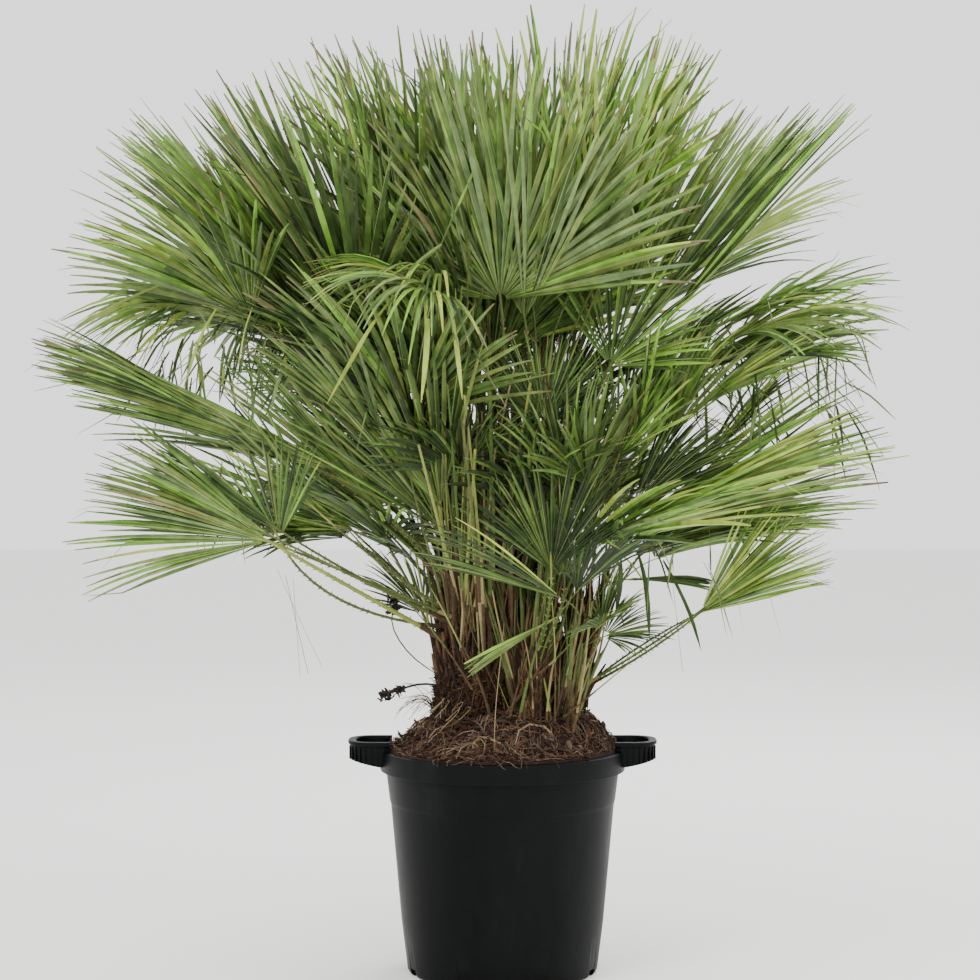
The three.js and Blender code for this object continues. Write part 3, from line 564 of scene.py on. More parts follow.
def stem_core(key):
    stem = STEMS[key]
    foot, top = Vector(stem["foot"]) * MM, Vector(stem["top"]) * MM
    tall = top.z - foot.z
    core = bmesh.new()
    bmesh.ops.create_cone(
        core, cap_ends=True, segments=CORE_SIDES, radius1=stem["wide"] * MM * CORE,
        radius2=stem["slim"] * MM * CORE, depth=tall, matrix=Matrix.Translation((0, 0, tall / 2)))
    upright = [edge for edge in core.edges
               if abs(edge.verts[0].co.z - edge.verts[1].co.z) > tall / 2]
    bmesh.ops.subdivide_edges(
        core, edges=upright, cuts=int(tall / CORE_STEP), use_grid_fill=True)
    for vert in core.verts:
        share = vert.co.z / tall
        flare = 1 + stem["flare"] / stem["wide"] * max(0.0, 1 - share / FLARE_END)
        shape = Vector((vert.co.x, vert.co.y, 0)) * flare
        spot = vert.co + foot
        shape *= sum((deep * noise.noise(Vector((spot.x * fine, spot.y * fine, spot.z * long)))
                      for fine, long, deep in BARK), start=1)
        vert.co = shape + foot.lerp(top, share)
    bmesh.ops.recalc_face_normals(core, faces=core.faces)
    return core


def stubs(key, draw):
    """The old leaf bases of one stem: crescent wedges that point up and lean out at their ends."""
    stem = STEMS[key]
    rows, tones = [], []
    tall = stem["top"][2] - stem["foot"][2]
    for i in range(stem["stubs"]):
        share = (i + 0.3) / stem["stubs"] * 0.97
        centre, wood = stem_at(key, share)
        wood += stem["flare"] * max(0.0, 1 - share / FLARE_END)
        turn = i * GOLDEN + draw.uniform(-STUB["turn"], STUB["turn"])
        out = level_way(turn)
        along = np.array([-out[1], out[0], 0])
        long = (STUB["long"][0] + STUB["long"][1] * wood) * draw.uniform(*STUB["vary"])
        long = min(long, (STUB["past_top"][0] - share) * tall + STUB["past_top"][1])
        lean = draw.uniform(0, STUB["lean"]) * (0.5 if key == "trunk" else 1)
        tip = draw.normal(0, STUB["tip"])
        width = wood * draw.uniform(*STUB["width"])
        thick = STUB["thick"][0] + wood * STUB["thick"][1]
        ring = []
        for t, w, away, k in STUB_STATIONS:
            far = wood * CORE + away + lean * long * t * t
            middle = centre + out * far + np.array([0, 0, long * t])
            middle += along * tip * long * t
            middle[:2] += (stem_at(key, share + long * t / tall)[0] - centre)[:2]
            ring.append([middle + along * width * w * x
                         + out * (thick * k * y - STUB["hollow"] * width * w * x * x)
                         for x, y in STUB_SECTION])
        rows.append(ring)
        tones.append(draw.choice(
            4, p=[0.8, 0.2, 0.0, 0.0] if share < 0.45 else [0.42, 0.36, 0.18, 0.04]))
    return np.array(rows) * MM, np.array(tones)[:, None, None]


def wrap(key, draw):
    """Loose fibre round a stem, mostly upright, some of it slanting across."""
    stem = STEMS[key]
    count = stem["wide"] * FIBRE["for_each_mm"]
    shares = draw.uniform(0, 0.95, count)
    turns = draw.uniform(0, math.tau, count)
    long = draw.uniform(*FIBRE["long"], count)
    slant = draw.normal(0, 1, count) * np.interp(long, (25, 80), (1.3, 0.4))
    proud = draw.uniform(*FIBRE["proud"], count)
    tall = stem["top"][2] - stem["foot"][2]
    lines = np.zeros((count, FIBRE["stations"], 3))
    for k in range(FIBRE["stations"]):
        t = k / (FIBRE["stations"] - 1)
        share = shares + long * t / tall
        here, wood = stem_at(key, share[:, None])
        wood = wood[:, 0] + stem["flare"] * np.maximum(0, 1 - share / FLARE_END)
        far = wood * 0.97 + proud + FIBRE["lift"] * t * t * draw.uniform(-0.3, 1, count)
        lines[:, k] = here + level_ways(turns + slant * t) * far[:, None]
    widths = tapered(draw, FIBRE["wide"], count, FIBRE["shape"])
    low = shares + draw.normal(0, 0.15, count) < 0.42
    tones = np.where(low, draw.choice(4, count, p=[0.66, 0.26, 0.08, 0]),
                     draw.choice(4, count, p=[0.25, 0.37, 0.26, 0.12]))
    return strands(lines * MM, widths * MM, 3), tones[:, None, None]


def ragged(draw):
    """The dark mass of torn bases and roots round the trunk's foot, short pieces lying all ways."""
    count = TORN["count"]
    turns, rise = draw.uniform(0, math.tau, count), draw.uniform(0, 1, count) ** 1.2
    centre, wood = stem_at("trunk", 0)
    far = wood * (1.0 - 0.1 * rise) + draw.uniform(*TORN["proud"], count)
    here = centre + level_ways(turns) * far[:, None]
    here[:, 2] = centre[2] + (TORN["low"] + rise * TORN["high"])
    way = unit(draw.normal(size=(count, 3)) * (1, 1, 0.8))
    way = way * draw.uniform(*TORN["long"], (count, 1))
    lines = here[:, None] + way[:, None] * PIECE_ENDS[:, None]
    widths = tapered(draw, TORN["wide"], count, TORN["shape"])
    tones = draw.choice(3, count, p=[0.82, 0.16, 0.02])
    return strands(lines * MM, widths * MM, 4, 0.6), tones[:, None, None]


core_finish = earthy("trunk_wood", "170e09", "33200f", "52351f", 30, 0.95, (1, 1, 0.25))
stub_finishes = [earthy(*row, stretch=(1, 1, 0.2)) for row in (
    ("leaf_base_dark", "19110c", "2e2016", "453323", 34, 0.9),
    ("leaf_base_rust", "40291a", "5d412a", "7a5c40", 34, 0.85),
    ("leaf_base_tan", "5d4c35", "7d6a4a", "9c8a66", 34, 0.85),
    ("leaf_base_amber", "6a431c", "8f6230", "aa8148", 34, 0.8),
)]
for seed, key in enumerate(STEMS):
    node = "trunk" if key == "trunk" else f"stem_{key}"
    draw = np.random.default_rng(300 + seed)
    piece(f"{node}_core", stem_core(key), [core_finish], [node], crease=60)
    torn = [ragged(draw)] if key == "trunk" else []
    name = f"{node}_leaf_bases"
    dressing = strip_mesh(name, [stubs(key, draw), wrap(key, draw)] + torn)
    piece(name, dressing, stub_finishes)


# Leaf stalks. Each frond stands on a long stalk, flat on top and edged with short spines, brown
# where it clasps the stem and olive to yellow-green above. They follow the solids' own curves.
STALK = {"foot": 13, "tip": 8, "seat": 0.75}
# How a stalk finds room: what it keeps clear, and how it may swing, start lower, bow and bend.
ROOM = {"samples": 40, "clearance": 3, "stem": 2, "rooted": 0.35, "end": 1.03,
        "swing": math.radians(17), "swings": 8, "drop": 0.1, "drops": 3,
        "bows": (0, 26, -26, 52, -52), "pulls": (0.42, 0.3, 0.54)}

FROND_KEYS = ("name", "stem", "rise", "hub", "lean", "turn", "roll", "radius", "spread", "droop",
              "mood")
# The fronds that the photograph shows, with those values: places and radii in millimetres, angles
# in degrees.
SHOWN = [
    ("front_centre", "trunk", 0.98, (-5, -190, 1225), 12, -125, 0, 475, 88, 0.04, "grey"),
    ("top_right", "tall", 0.98, (110, 70, 1320), 11, 55, 0, 485, 75, 0.03, "fresh"),
    ("top_left", "trunk", 0.96, (-95, 50, 1280), 25, 165, -30, 490, 60, 0.03, "plain"),
    ("centre_small", "tall", 0.6, (65, -110, 1020), 10, -80, 0, 150, 70, 0.02, "dark"),
    ("front_arched", "trunk", 0.9, (-120, -320, 1230), 70, -140, -20, 270, 80, 0.45, "arched"),
    ("right_long", "right", 0.98, (190, -130, 800), 68, -22, 14, 545, 72, 0.05, "fresh"),
    ("front_low", "front", 0.95, (84, -225, 752), 10, -100, 0, 240, 60, 0.08, "deep"),
    ("front_right", "tall", 0.35, (138, -135, 868), 12, -40, 0, 250, 72, 0.08, "dark"),
    ("left_high", "trunk", 0.85, (-375, 60, 1215), 38, 165, 0, 500, 80, 0.06, "plain"),
    ("left_inner", "trunk", 0.92, (-260, -90, 1165), 31, -155, 0, 505, 70, 0.04, "dark"),
    ("left_wide", "trunk", 0.75, (-455, -60, 1200), 66, -170, 25, 370, 85, 0.12, "plain"),
    ("left_back", "trunk", 0.62, (-500, 130, 1240), 74, 155, -20, 340, 80, 0.35, "lime"),
    ("left_flat", "trunk", 0.66, (-470, -110, 990), 66, -178, 12, 395, 20, 0.03, "dark"),
    ("left_low", "trunk", 0.4, (-415, -170, 800), 60, -172, 70, 345, 46, 0.05, "plain"),
    ("left_low_back", "trunk", 0.5, (-280, 100, 805), 52, 150, -60, 200, 56, 0.06, "fresh"),
    ("front_left", "trunk", 0.6, (-110, -150, 860), 38, -172, 40, 400, 55, 0.05, "plain"),
    ("right_upright", "tall", 0.94, (175, -80, 1255), 19, -30, 0, 475, 44, 0.04, "fresh"),
    ("right_back", "tall", 0.9, (260, 100, 1220), 32, 28, 0, 475, 6, 0.06, "grey"),
    ("right_high", "tall", 0.86, (290, -60, 1185), 40, -6, 4, 520, 6, 0.03, "dark"),
    ("right_wide", "tall", 0.78, (355, 120, 1290), 58, 14, -20, 370, 24, 0.1, "lime"),
    ("right_arched", "tall", 0.66, (420, -60, 1160), 62, -15, 20, 350, 62, 0.28, "plain"),
    ("right_inner", "tall", 0.7, (262, -20, 1010), 36, -12, 0, 280, 75, 0.1, "plain"),
    ("right_low", "right", 0.8, (285, 60, 755), 74, 18, 0, 370, 75, 0.1, "plain"),
    ("right_middle", "right", 0.95, (365, 40, 920), 38, 8, 0, 300, 24, 0.14, "dark"),
    ("right_lowest", "right", 0.3, (350, -140, 670), 64, -12, 25, 260, 34, 0, "fresh"),
    ("right_sucker", "right", 0.5, (175, -150, 650), 62, -60, 20, 110, 90, 0.1, "plain"),
]
# name, stem, count, first azimuth, step, lean, stalk, bend, radius, spread, droop, mood
TIERS = [
    ("crown", "tall", 5, 40, 50, 14, 380, 10, 450, 82, 0.05, "plain"),
    ("shoulder", "trunk", 4, 75, 52, 27, 410, 14, 430, 85, 0.07, "plain"),
    ("side", "tall", 4, 20, 58, 42, 430, 18, 380, 88, 0.14, "dark"),
    ("rear", "rear", 6, 15, 42, 44, 330, 16, 310, 85, 0.1, "plain"),
    ("inner", "trunk", 3, 210, 50, 46, 230, 12, 230, 80, 0.12, "dark"),
]
TIER_RISE = (0.98, 0.4)
# Fans of the tiers that open less far than the others.
NARROW = {"side_1": 30, "crown_1": 50}
LAYOUT_SEED = 560
# Younger fans that thicken the crown inside the reach of the others: the same values, without a
# name. Their order decides the random draws.
# Fans of the mood 'shade' stand where the crown is in shadow, and their leaflets are painted shade.
YOUNG = [
    ("tall", 0.7, (300, -70, 985), 48, -20, 0, 300, 55, 0.08, "plain"),
    ("tall", 0.7, (235, 70, 1070), 50, 20, 0, 330, 50, 0.1, "dark"),
    ("trunk", 0.7, (-210, -120, 960), 48, -165, 10, 330, 50, 0.08, "plain"),
    ("trunk", 0.7, (-230, 60, 1050), 50, 160, 0, 340, 50, 0.1, "dark"),
    ("tall", 0.98, (20, 40, 1290), 9, 120, 10, 450, 55, 0.03, "plain"),
    ("tall", 0.96, (190, 20, 1280), 19, 6, 70, 470, 8, 0.03, "fresh"),
    ("trunk", 0.98, (-150, 40, 1270), 18, 170, 20, 470, 48, 0.03, "plain"),
    ("trunk", 0.98, (-60, 20, 1300), 9, 150, 10, 440, 48, 0.03, "grey"),
    ("trunk", 0.9, (-300, 40, 1230), 34, 172, 20, 480, 38, 0.04, "dark"),
    ("trunk", 0.8, (-390, 10, 1215), 47, 176, 60, 480, 13, 0.03, "plain"),
    ("trunk", 0.5, (-415, -165, 800), 68, -172, 70, 320, 24, 0.04, "dark"),
    ("trunk", 0.66, (-452, -112, 1004), 67, -178, 78, 410, 5, 0.03, "dark"),
    ("trunk", 0.66, (-446, -104, 984), 68, -177, 62, 400, 6, 0.03, "deep"),
    ("trunk", 0.66, (-330, -110, 945), 68, -178, 70, 400, 7, 0.03, "plain"),
    ("trunk", 0.66, (-430, -100, 974), 67, -178, 75, 385, 5, 0.03, "dark"),
    ("trunk", 0.6, (-300, -115, 925), 70, -178, 70, 430, 9, 0.03, "dark"),
    ("trunk", 0.6, (-380, -112, 948), 69, -178, 70, 410, 7, 0.03, "deep"),
    ("trunk", 0.66, (-462, -100, 996), 66, -178, -10, 395, 16, 0.03, "dark"),
    ("right", 0.3, (352, -146, 672), 50, 0, 80, 232, 30, 0.0, "fresh"),
    ("right", 0.3, (356, -130, 676), 54, 4, 80, 250, 22, 0.0, "fresh"),
    ("front", 0.9, (72, -205, 1008), 8, -80, 0, 170, 70, 0.02, "deep"),
    ("tall", 0.98, (95, 10, 1300), 12, 10, 15, 460, 26, 0.03, "fresh"),
    ("front", 0.95, (190, -150, 1110), 30, -10, 62, 250, 70, 0.03, "fresh"),
    ("trunk", 0.96, (-205, -10, 1245), 19, 180, 70, 480, 12, 0.03, "fresh"),
    ("tall", 0.6, (232, -100, 858), 46, -5, 60, 235, 30, 0.04, "shade"),
    ("right", 0.9, (300, -60, 800), 66, -5, 40, 385, 24, 0.05, "dark"),
    ("right", 0.95, (300, -20, 850), 60, 0, 60, 420, 16, 0.05, "fresh"),
    ("front", 0.95, (205, -150, 950), 20, -10, 52, 235, 55, 0.05, "fresh"),
    ("tall", 0.8, (235, -60, 985), 30, -5, 0, 240, 60, 0.05, "plain"),
    ("front", 0.95, (110, -200, 890), 16, -50, 0, 230, 55, 0.06, "plain"),
    ("right", 0.6, (176, -120, 640), 18, -10, 0, 130, 85, 0.05, "plain"),
    ("right", 0.5, (180, -140, 628), 72, 0, 30, 125, 70, 0.1, "dark"),
    ("front", 0.9, (92, -176, 664), 119, 180, 75, 172, 4, 0.02, "fresh"),
    ("trunk", 0.8, (-350, 20, 1205), 50, 172, 10, 470, 40, 0.05, "plain"),
    ("trunk", 0.9, (-240, 80, 1230), 29, 165, -10, 475, 40, 0.04, "grey"),
    ("trunk", 0.85, (-410, -20, 1190), 60, 176, 0, 420, 40, 0.1, "fresh"),
    ("front", 0.7, (100, -262, 706), 66, -176, 24, 270, 26, 0.05, "dark"),
    ("front", 0.7, (128, -250, 716), 44, -30, 0, 210, 60, 0.16, "shade"),
    ("tall", 0.9, (272, 30, 1210), 38, 5, 60, 465, 5, 0.02, "fresh"),
    ("tall", 0.95, (222, -10, 1225), 29, 0, 70, 425, 5, 0.03, "grey"),
    ("tall", 0.9, (248, -70, 1190), 38, -6, 70, 488, 5, 0.02, "dark"),
    ("tall", 0.7, (360, -40, 1040), 62, -8, 0, 330, 50, 0.12, "plain"),
    ("tall", 0.7, (240, -100, 940), 32, -25, 0, 330, 50, 0.08, "fresh"),
    ("right", 0.9, (290, -40, 830), 64, 5, 0, 400, 50, 0.08, "fresh"),
    ("right", 0.8, (250, 0, 780), 72, -10, 10, 400, 34, 0.06, "dark"),
    ("front", 0.9, (150, -170, 900), 30, -30, 0, 260, 80, 0.1, "plain"),
    ("trunk", 0.6, (-205, -110, 842), 41, 180, 70, 430, 13, 0.03, "plain"),
    ("trunk", 0.96, (-165, -30, 1255), 17, 180, 70, 445, 12, 0.03, "dark"),
    ("right", 0.8, (222, -110, 728), 88, 0, 70, 150, 3, 0.08, "deep"),
    ("tall", 0.66, (398, -125, 1125), 69, 0, 70, 285, 11, 0.03, "dark"),
    ("tall", 0.66, (392, -120, 1122), 77, 0, 70, 250, 10, 0.08, "deep"),
    ("tall", 0.66, (300, -60, 1085), 64, 0, 70, 300, 10, 0.03, "dark"),
    ("tall", 0.9, (262, 10, 1190), 36, 0, 70, 425, 6, 0.03, "dark"),
    ("trunk", 0.5, (-398, -150, 802), 26, -178, 72, 200, 58, 0.05, "dark"),
    ("trunk", 0.5, (-330, -120, 850), 48, -178, 72, 300, 22, 0.05, "plain"),
    ("tall", 0.6, (240, -60, 885), 50, 0, 66, 230, 26, 0.04, "shade"),
    ("tall", 0.9, (108, 60, 1050), 12, 0, 80, 230, 62, 0.03, "shade"),
    ("trunk", 0.5, (-408, -172, 808), 63, -174, 70, 318, 10, 0.04, "plain"),
    ("trunk", 0.5, (-392, -160, 816), 57, -174, 70, 285, 9, 0.04, "dark"),
    ("rear", 0.7, (-150, 210, 640), 40, 130, 0, 170, 80, 0.1, "plain"),
]
# The smaller fans behind a frond: where they stand, in shares of its radius, and how they differ.
COMPANION = {"back": (-0.16, -0.02), "aside": 0.2, "above": 0.12, "behind": (0.08, 0.22),
             "lean": 9, "turn": 16, "roll": 22, "radius": (0.82, 0.99), "spread": (0.4, 0.75),
             "mood": {"grey": "plain", "lime": "fresh", "arched": "plain"}}
# A frond needs this spread and radius to have one, and has three if it is wide and upright. They
# stand less far behind it the nearer it is to this depth.
COMPANY = {"spread": 40, "radius": 160, "wide": 330, "upright": 60, "deep": 150}
BEHIND = np.array([0.0, 1.0, 0.0])
# The random rule's own numbers.
STEP, LIMIT = 16807, 2147483647
YOUNG_SLIM = 0.72


def heading(lean, turn):
    lean, turn = math.radians(lean), math.radians(turn)
    return np.array([
        math.sin(lean) * math.cos(turn), math.sin(lean) * math.sin(turn), math.cos(lean)])


def blade_frame(frond):
    """Forward up the middle of the fan, sideways across it, and out of its upper face."""
    turn, roll = math.radians(frond["turn"]), math.radians(frond["roll"])
    forward = heading(frond["lean"], frond["turn"])
    level = np.array([-math.sin(turn), math.cos(turn), 0])
    raised = np.cross(forward, level)
    side = level * math.cos(roll) + raised * math.sin(roll)
    return forward, side, raised * math.cos(roll) - level * math.sin(roll)


def as_fronds(keys, rows):
    fronds = [dict(zip(keys, row)) for row in rows]
    return [frond | {"hub": np.array(frond["hub"], float)} for frond in fronds]


def seeded(seed):
    """The palm's own random rule, the same in its source, so that both give the same fronds."""
    state = seed

    def draw(low, high):
        nonlocal state
        state = state * STEP % LIMIT
        return low + (high - low) * (state / LIMIT)

    return draw


def layout_fronds():
    draw = seeded(LAYOUT_SEED)
    fronds = as_fronds(FROND_KEYS, SHOWN)
    for tier, stem, count, first, step, lean, stalk, bend, radius, spread, droop, mood in TIERS:
        for i in range(count):
            name = f"{tier}_{i + 1}"
            azimuth = first + step * i + draw(-9, 9)
            tilt = lean + draw(-6, 6)
            long = stalk * draw(0.88, 1.1)
            rise = TIER_RISE[0] - TIER_RISE[1] * i / count
            fronds.append({
                "name": name, "stem": stem, "rise": rise,
                "hub": stem_at(stem, rise)[0] + heading(tilt, azimuth) * long,
                "lean": tilt + bend + draw(-4, 4), "turn": azimuth + draw(-14, 14),
                "roll": draw(-18, 18), "radius": radius * draw(0.88, 1.08),
                "spread": NARROW.get(name, spread), "droop": droop, "mood": mood})
    return fronds


def stalk_curve(frond, attempt):
    swings, drops, bows, pulls = ROOM["swings"], ROOM["drops"], ROOM["bows"], ROOM["pulls"]
    swing = math.ceil((attempt % swings) / 2) * (1 if attempt % 2 else -1) * ROOM["swing"]
    share = frond["rise"] - (attempt // swings % drops) * ROOM["drop"]
    bow = bows[attempt // (swings * drops) % len(bows)]
    pull = pulls[attempt // (swings * drops * len(bows))]
    centre, wood = stem_at(frond["stem"], share)
    turn = math.atan2(frond["hub"][1] - centre[1], frond["hub"][0] - centre[0]) + swing
    foot = centre + level_way(turn) * wood * STALK["seat"]
    forward, side, _ = blade_frame(frond)
    reach = np.linalg.norm(frond["hub"] - foot)
    return np.array([foot, frond["hub"] - forward * reach * pull + side * bow, frond["hub"]])


def along_curve(curve, shares):
    t = np.asarray(shares)[:, None]
    return (1 - t) ** 2 * curve[0] + 2 * t * (1 - t) * curve[1] + t ** 2 * curve[2]


def hits_stem(frond, points, shares, radii):
    for key, stem in STEMS.items():
        foot = np.array(stem["foot"], float)
        axis = np.array(stem["top"], float) - foot
        along = (points - foot) @ axis / (axis @ axis)
        away = np.linalg.norm(points - foot - along[:, None] * axis, axis=1)
        wood = stem["wide"] + (stem["slim"] - stem["wide"]) * np.maximum(0, along)
        close = (away < wood + radii + ROOM["stem"]) & (along <= ROOM["end"])
        if key == frond["stem"]:
            close &= shares >= ROOM["rooted"]
        if close.any():
            return True
    return False


def stalk_radius(shares):
    """Half a stalk's width along it, in millimetres."""
    return (STALK["foot"] + (STALK["tip"] - STALK["foot"]) * shares) / 2


def place_stalks(fronds):
    shares = np.arange(1, ROOM["samples"] + 1) / ROOM["samples"]
    radii = stalk_radius(shares)
    placed, kept = [], []
    tries = ROOM["swings"] * ROOM["drops"] * len(ROOM["bows"]) * len(ROOM["pulls"])
    for frond in fronds:
        for attempt in range(tries):
            curve = stalk_curve(frond, attempt)
            points = along_curve(curve, shares)
            if hits_stem(frond, points, shares, radii):
                continue
            gaps = [np.linalg.norm(points[:, None] - other, axis=2) - radii[:, None] - radii
                    for other in placed]
            if min((gap.min() for gap in gaps), default=math.inf) > ROOM["clearance"]:
                placed.append(points)
                kept.append(frond | {"curve": curve})
                break
    return [frond for frond in kept if f"frond_{frond['name']}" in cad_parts]


def company(frond):
    """How many smaller fans stand behind a frond: none behind a narrow or a small one."""
    if frond["spread"] < COMPANY["spread"] or frond["radius"] <= COMPANY["radius"]:
        return 0
    return 3 if frond["radius"] > COMPANY["wide"] and frond["lean"] < COMPANY["upright"] else 1


def thicken(fronds, draw):
    """The young fans, and each frond's own company, on stalks of their own."""
    young = as_fronds(FROND_KEYS[1:], YOUNG)
    for frond in fronds:
        forward, side, above = blade_frame(frond)
        reach, mood = frond["radius"], frond["mood"]
        room = min(1.0, max(0.0, 1 - frond["hub"][1] / COMPANY["deep"]))
        for _ in range(company(frond)):
            hub = frond["hub"] + reach * (
                forward * draw.uniform(*COMPANION["back"])
                + side * draw.uniform(-1, 1) * COMPANION["aside"]
                + above * draw.uniform(-1, 1) * COMPANION["above"]
                + BEHIND * draw.uniform(*COMPANION["behind"]) * room)
            young.append(frond | {
                "hub": hub, "radius": reach * draw.uniform(*COMPANION["radius"]),
                "spread": frond["spread"] * draw.uniform(*COMPANION["spread"])} | {
                key: frond[key] + draw.uniform(-1, 1) * COMPANION[key]
                for key in ("lean", "turn", "roll")} | {
                "mood": draw.choice([mood, COMPANION["mood"].get(mood, mood)])})
    return [frond | {"curve": stalk_curve(frond, int(draw.integers(0, 8))), "slim": YOUNG_SLIM}
            for frond in young]


# A blade that has sunk below its stalk's own line.
SUNK = {"left_low": {"lean": 78, "spread": 34}}
grown = [frond | SUNK.get(frond["name"], {}) for frond in place_stalks(layout_fronds())]
fronds = grown + thicken(grown, np.random.default_rng(15))

STATIONS = np.array([
    0, 0.03, 0.07, 0.12, 0.18, 0.25, 0.33, 0.42, 0.51, 0.6, 0.69, 0.78, 0.86, 0.93, 1.0])
SECTION = ((-1, 0.35), (-0.62, 0.55), (0.62, 0.55), (1, 0.35),
           (0.82, -0.3), (0.34, -0.78), (-0.34, -0.78), (-0.82, -0.3))
SPINE_PITCH, SPINE_LONG, SPINES_GONE = 15, (3, 6.5), 0.18
SLIM = 0.78
SHEATH = {"wide": 6.5, "end": 0.2}
SPUR, SPUR_WIDE = (14, 34), (2.8, 0.7)


def stalk_rings(frond, draw):
    """The rings of one stalk, which runs on into its blade as a spur, and those of its spines."""
    points = along_curve(frond["curve"], STATIONS)
    forward, side, above = blade_frame(frond)
    points = np.concatenate([points, [frond["hub"] + forward * far for far in SPUR]])
    ahead = unit(np.gradient(points, axis=0))
    across = unit(side - (ahead @ side)[:, None] * ahead)
    up = np.cross(ahead, across)
    up *= np.where(up @ above < 0, -1, 1)[:, None]
    shares = np.concatenate([STATIONS, [1.0, 1.0]])
    long = np.linalg.norm(np.diff(frond["curve"], axis=0), axis=1).sum()
    size = SLIM * frond.get("slim", 1) * min(1.0, max(0.5, long / 450))
    half = size * stalk_radius(shares)
    half = half + min(SHEATH["wide"], long / 60) * np.maximum(0, 1 - shares / SHEATH["end"]) ** 2
    half[-2:] = SPUR_WIDE
    rings = np.array([[p + half[k] * (across[k] * x + up[k] * y * 0.78) for x, y in SECTION]
                      for k, p in enumerate(points)])
    spines = []
    for t in np.arange(0.16, 0.93, SPINE_PITCH / long):
        t = t + draw.uniform(-0.004, 0.004)
        here = along_curve(frond["curve"], [t])[0]
        k = min(int(np.searchsorted(STATIONS, t)), len(STATIONS) - 1)
        wide = np.interp(t, STATIONS, half[:-2])
        for hand in (-1, 1):
            if draw.random() < SPINES_GONE:
                continue
            way = unit(across[k] * hand * 0.75 + ahead[k] * draw.uniform(0.3, 1.0)
                       + up[k] * draw.uniform(-0.2, 0.4))
            root = here + across[k] * hand * wide * 0.88 + up[k] * 0.2 * wide
            tip = root + way * draw.uniform(*SPINE_LONG)
            rear = root - ahead[k] * 1.5
            base = [root + ahead[k] * 1.5, rear + up[k] * 0.9, rear - up[k] * 0.9]
            spines.append([base, [tip + (p - root) * 0.06 for p in base]])
    return rings * MM, np.array(spines) * MM


stalk_finishes = [earthy(*row) for row in (
    ("stalk_sheath_brown", "33271a", "4d3c28", "6b573c", 40, 0.85),
    ("stalk_straw", "6f6540", "8a7f55", "a2986c", 30, 0.65),
    ("stalk_olive", "3d4423", "515a2d", "68713d", 30, 0.55),
    ("stalk_green", "394c20", "4b6229", "617838", 30, 0.5),
    ("stalk_yellow", "6a7234", "818941", "989e54", 30, 0.5),
)]
draw = np.random.default_rng(77)
stalk_batches = []
for frond in fronds:
    rings, spines = stalk_rings(frond, draw)
    body = draw.choice([2, 3, 4], p=[0.68, 0.25, 0.07])
    tone = np.full(len(rings) - 1, body)
    tone[:3] = 0
    tone[3:4] = draw.choice([0, 1])
    tone[-4:] = draw.choice([4, body])
    stalk_batches.append((rings[None], tone[None, :, None]))
    if len(spines):
        stalk_batches.append((spines, np.full((1, 1, 1), draw.choice([1, 4, 2]))))


# Thin stalks and threads have this many stations; the round stalks have six flattened sides.
LINE, ROUND_SIDES, ROUND_FLAT = 9, 6, 0.7


def by_face(tones, stations, sides):
    """One finish for each strip, written out for each of its faces."""
    return np.repeat(np.repeat(tones[:, None, None], stations - 1, axis=1), sides, axis=2)


def bowed(start, knee, end):
    return along_curve((start, knee, end), np.linspace(0, 1, LINE))


def add_round_stalks(lines, widths, tones):
    rings = strands(np.array(lines) * MM, widths * MM, ROUND_SIDES, ROUND_FLAT)
    stalk_batches.append((rings, tones))


# The bare stalks stand close round the stems, near upright: young ones, and old ones cut off.
BARE, CUT, BUNDLE, SHOOTS, SLANTS = 190, 110, 48, 76, 10
foot_key = draw.choice(["trunk", "tall", "trunk", "right", "front", "rear"], BARE + CUT)
bare_lines = []
for i, key in enumerate(foot_key):
    centre, wood = stem_at(key, draw.uniform(0.02, 0.85))
    out = level_way(draw.uniform(0, math.tau))
    start = centre + out * wood * 0.9
    climb = draw.uniform(330, 620) if i < BARE else draw.uniform(60, 190)
    lean, held = draw.uniform(-0.1, 0.45), 1 if i < BARE else 0.4
    end = start + out * climb * lean * held + np.array([0, 0, climb])
    end[:2] += draw.normal(0, 0.09, 2) * climb
    knee = start + out * climb * 0.10 + np.array([0, 0, climb * 0.5])
    bare_lines.append(bowed(start, knee, end))
bare_wide = tapered(draw, (1, 3), BARE + CUT, np.linspace(1.6, 0.75, LINE))
bare_tone = by_face(np.where(
    np.arange(BARE + CUT) < BARE,
    draw.choice([2, 3, 4, 1, 0], BARE + CUT, p=[0.5, 0.2, 0.06, 0.12, 0.12]),
    draw.choice([0, 1, 2], BARE + CUT, p=[0.7, 0.06, 0.24])), LINE, ROUND_SIDES)
bare_tone[:, :2] = 0
add_round_stalks(bare_lines, bare_wide, bare_tone)

# The sheaf of young stalks in front of the trunk, which climbs into the crown.
sheaf = []
for _ in range(BUNDLE):
    start = draw.uniform((-95, -84, 560), (30, -62, 700))
    end = np.array([start[0] * 1.1 + draw.normal(0, 42), draw.uniform(-290, -170),
                    draw.uniform(960, 1150)])
    knee = (start + end) / 2 + (draw.normal(0, 16), draw.uniform(-30, 5), 0)
    sheaf.append(bowed(start, knee, end))
sheaf_wide = tapered(draw, (1.2, 3.4), BUNDLE, (0.3, 0.9, 1.2, 1.15, 1.1, 1, 0.9, 0.85, 0.8))
sheaf_tone = by_face(
    draw.choice([2, 4, 3, 1], BUNDLE, p=[0.44, 0.26, 0.16, 0.14]), LINE, ROUND_SIDES)
sheaf_tone[:, :2] = draw.choice([0, 1], (BUNDLE, 1, 1), p=[0.85, 0.15])
sheaf_tone[::5, 2] = 1
sheaf_tone[1::3, 2] = 0
add_round_stalks(sheaf, sheaf_wide, sheaf_tone)

